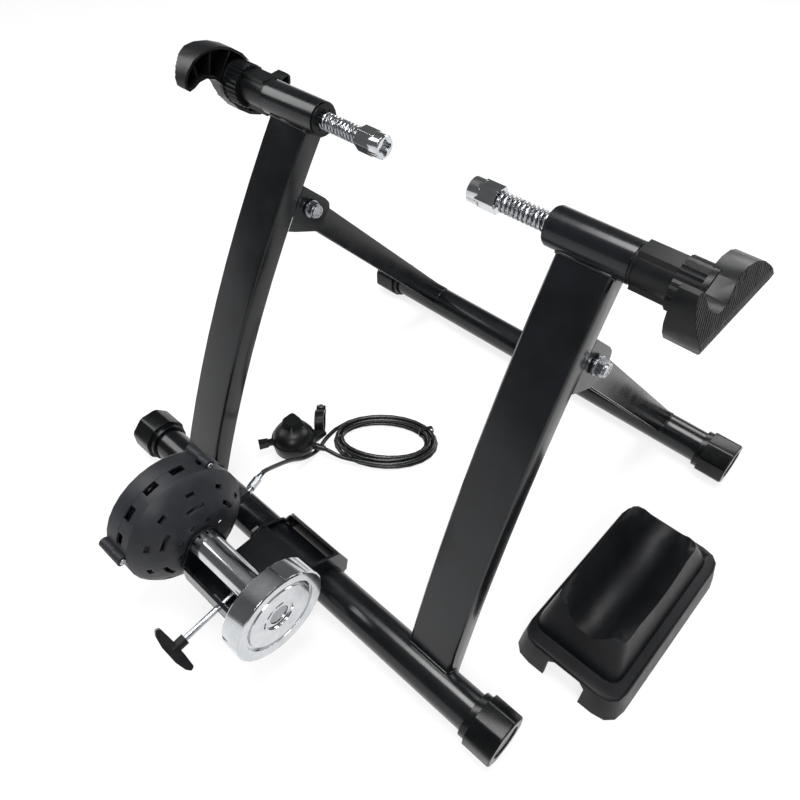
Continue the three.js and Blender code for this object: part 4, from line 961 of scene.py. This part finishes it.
@dataclass
class DrumScrews:
    """The three pan-head screws that hold the drum's shells together."""

    axis: tuple[float, float] = (-72.0, 91.6)
    pitch: float = 66.0
    angles: tuple[float, ...] = (51.0, 171.0, 291.0)
    face: float = -76.0
    head_radius: float = 3.4
    head_height: float = 1.8
    head_sides: int = 24
    rounding: float = 0.8
    rounding_steps: int = 4
    cross: tuple[float, float, float] = (1.4, 0.8, 3.6)

    def build(self) -> None:
        """Turns a head for each boss and sinks a cross in it."""
        for number, degrees in enumerate(self.angles, start=1):
            angle = math.radians(degrees)
            spot = place(
                self.face,
                self.axis[0] + self.pitch * math.cos(angle),
                self.axis[1] + self.pitch * math.sin(angle),
            )
            deselect()
            bpy.ops.mesh.primitive_cylinder_add(
                vertices=self.head_sides, radius=self.head_radius * MM, depth=self.head_height * MM,
                location=spot + Vector((self.head_height * MM / 2, 0, 0)), rotation=(0, math.pi / 2, 0),
            )
            head = bpy.context.object
            head.name = f"drum_screw_{number}"
            bevel = head.modifiers.new("round", "BEVEL")
            bevel.width, bevel.segments = self.rounding * MM, self.rounding_steps
            bevel.limit_method = "ANGLE"
            pick(head)
            bpy.ops.object.modifier_apply(modifier=bevel.name)
            for turn in (0.0, math.pi / 2):
                bpy.ops.mesh.primitive_cube_add(
                    size=1.0, location=spot + Vector((self.head_height * MM, 0, 0)), rotation=(turn, 0, 0),
                )
                bar = bpy.context.object
                bar.scale = tuple(size * MM for size in self.cross)
                pick(head)
                slot = head.modifiers.new("cross", "BOOLEAN")
                slot.operation, slot.object = "DIFFERENCE", bar
                bpy.ops.object.modifier_apply(modifier=slot.name)
                bpy.data.objects.remove(bar)
            settle(head, ZINC, "resistance_unit")


# Welds


@dataclass
class WeldBead:
    """The bead of weld where a coped end meets a round tube or sleeve."""

    member: bpy.types.Object
    end: str
    body: str
    axle: tuple[float, float]
    tube_radius: float
    bead_radius: float = 1.5
    bead_steps: int = 3
    fit: float = 0.5

    def rim(self, mesh: bpy.types.Mesh) -> set[tuple[int, int]]:
        """Finds the outer edge of the coped end.

        Args:
            mesh: The member's mesh, with its doubles merged.

        Returns:
            The longest chain of edges that lie between the cope and the outside.
        """
        centre = place(0.0, *self.axle)
        near = [
            math.hypot(v.co.y - centre.y, v.co.z - centre.z) < (self.tube_radius + self.fit) * MM
            for v in mesh.vertices
        ]
        coped: dict[tuple[int, int], int] = {}
        for face in mesh.polygons:
            inside = all(near[i] for i in face.vertices)
            for key in face.edge_keys:
                coped[key] = coped.get(key, 0) + inside
        edges = {key for key, count in coped.items() if count == 1 and near[key[0]] and near[key[1]]}
        chains: list[set[tuple[int, int]]] = []
        while edges:
            chain = {edges.pop()}
            ends = {i for key in chain for i in key}
            while more := {key for key in edges if ends & set(key)}:
                edges -= more
                chain |= more
                ends |= {i for key in more for i in key}
            chains.append(chain)
        spots = mesh.vertices
        return max(chains, key=lambda chain: sum((spots[a].co - spots[b].co).length for a, b in chain))

    def build(self) -> None:
        """Takes the rim off a copy of the member and sweeps the bead along it."""
        bead = self.member.copy()
        bead.data = self.member.data.copy()
        bead.name = f"{self.member.name}_{self.end}_weld"
        bpy.context.scene.collection.objects.link(bead)
        pick(bead)
        bpy.ops.object.mode_set(mode="EDIT")
        bpy.ops.mesh.select_all(action="SELECT")
        bpy.ops.mesh.remove_doubles(threshold=SAME_SPOT * MM)
        bpy.ops.mesh.select_mode(type="EDGE")
        bpy.ops.mesh.select_all(action="DESELECT")
        bpy.ops.object.mode_set(mode="OBJECT")
        chain = self.rim(bead.data)
        for edge in bead.data.edges:
            edge.select = tuple(sorted(edge.vertices)) not in chain
        bpy.ops.object.mode_set(mode="EDIT")
        bpy.ops.mesh.delete(type="EDGE")
        bpy.ops.object.mode_set(mode="OBJECT")
        pick(bead)
        bpy.ops.object.convert(target="CURVE")
        curve = bpy.context.object
        curve.data.bevel_depth = self.bead_radius * MM
        curve.data.bevel_resolution = self.bead_steps
        curve.data.use_fill_caps = True
        bpy.ops.object.convert(target="MESH")
        settle(bpy.context.object, POWDER_COAT, self.body, angle=60.0)


# Finishes of the model's own pieces


SLOT_FINISHES: dict[str, Finish] = {
    "powder_coat": POWDER_COAT,
    "black_plastic": NYLON,
    "foot_plastic": FOOT_PVC,
    "drum_plastic": DRUM_ABS,
    "chrome": CHROME,
    "zinc_steel": ZINC,
    "machined_steel": GROUND,
    "aluminium": ALUMINIUM,
    "cable_jacket": JACKET,
}
NODE_FINISHES: dict[str, Finish] = {
    "riser_block": BLOCK_PP,
}
# Edges sharper than this are kept crisp; a rounded corner of few facets needs a wider angle.
CRISP_ANGLE = 32.0
CRISP_ANGLES: dict[str, float] = {
    "riser_block": 60.0,
    "left_upright": 50.0,
    "right_upright": 50.0,
    "shifter_body": 48.0,
    "adjuster_grip": 50.0,
}


def dress_model(frame: dict) -> None:
    """Gives each of the model's own pieces its finish and softened edges.
    """
    slots = {row["node"]: row["material_slot"] for row in frame["record"]["subparts"]}
    for name, node in frame["nodes"].items():
        finish = NODE_FINISHES.get(name, SLOT_FINISHES[slots[name]])
        node.data.materials.clear()
        node.data.materials.append(finish.material())
        custom = node.data.attributes.get("custom_normal")
        if custom is not None:
            node.data.attributes.remove(custom)
        for face in node.data.polygons:
            face.use_smooth = True
        weld = node.modifiers.new("weld", "WELD")
        weld.merge_threshold = SAME_SPOT * MM
        split = node.modifiers.new("split", "EDGE_SPLIT")
        split.split_angle = math.radians(CRISP_ANGLES.get(name, CRISP_ANGLE))
        flat = node.modifiers.new("flat", "WEIGHTED_NORMAL")
        flat.keep_sharp = True
    log.info("dressed %d pieces of the model", len(frame["nodes"]))


def main() -> None:
    """Builds the studio and every piece in order."""
    logging.basicConfig(level=logging.INFO, format="%(name)s: %(message)s")
    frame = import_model()
    Studio().build()
    cable = RemoteCable()
    cable.build()
    nodes = frame["nodes"]
    levers = {side: nodes[f"{side}_clamp_lever"] for side in ("left", "right")}
    makers: list[Callable[[], None]] = [
        CableBoot(cable).build,
        CoilTie(cable).build,
        SpindleSpring("left", -1).build,
        SpindleSpring("right", 1).build,
        GripRibs("left", -1, levers["left"]).build,
        GripRibs("right", 1, levers["right"], turn=math.radians(-45.0)).build,
        DrumScrews().build,
    ]
    for side in ("left", "right"):
        upright, arm = nodes[f"{side}_upright"], nodes[f"{side}_leg_arm"]
        makers.append(WeldBead(upright, "low", "main_frame", BASE_AXLE, TUBE_RADIUS).build)
        makers.append(WeldBead(upright, "high", "main_frame", CLAMP_AXLE, SLEEVE_RADIUS).build)
        makers.append(WeldBead(arm, "low", "rear_leg", REAR_AXLE, TUBE_RADIUS).build)
    for make in makers:
        make()
    dress_model(frame)
    bpy.context.scene.view_settings.view_transform = "Standard"


if __name__ == "__main__":
    main()
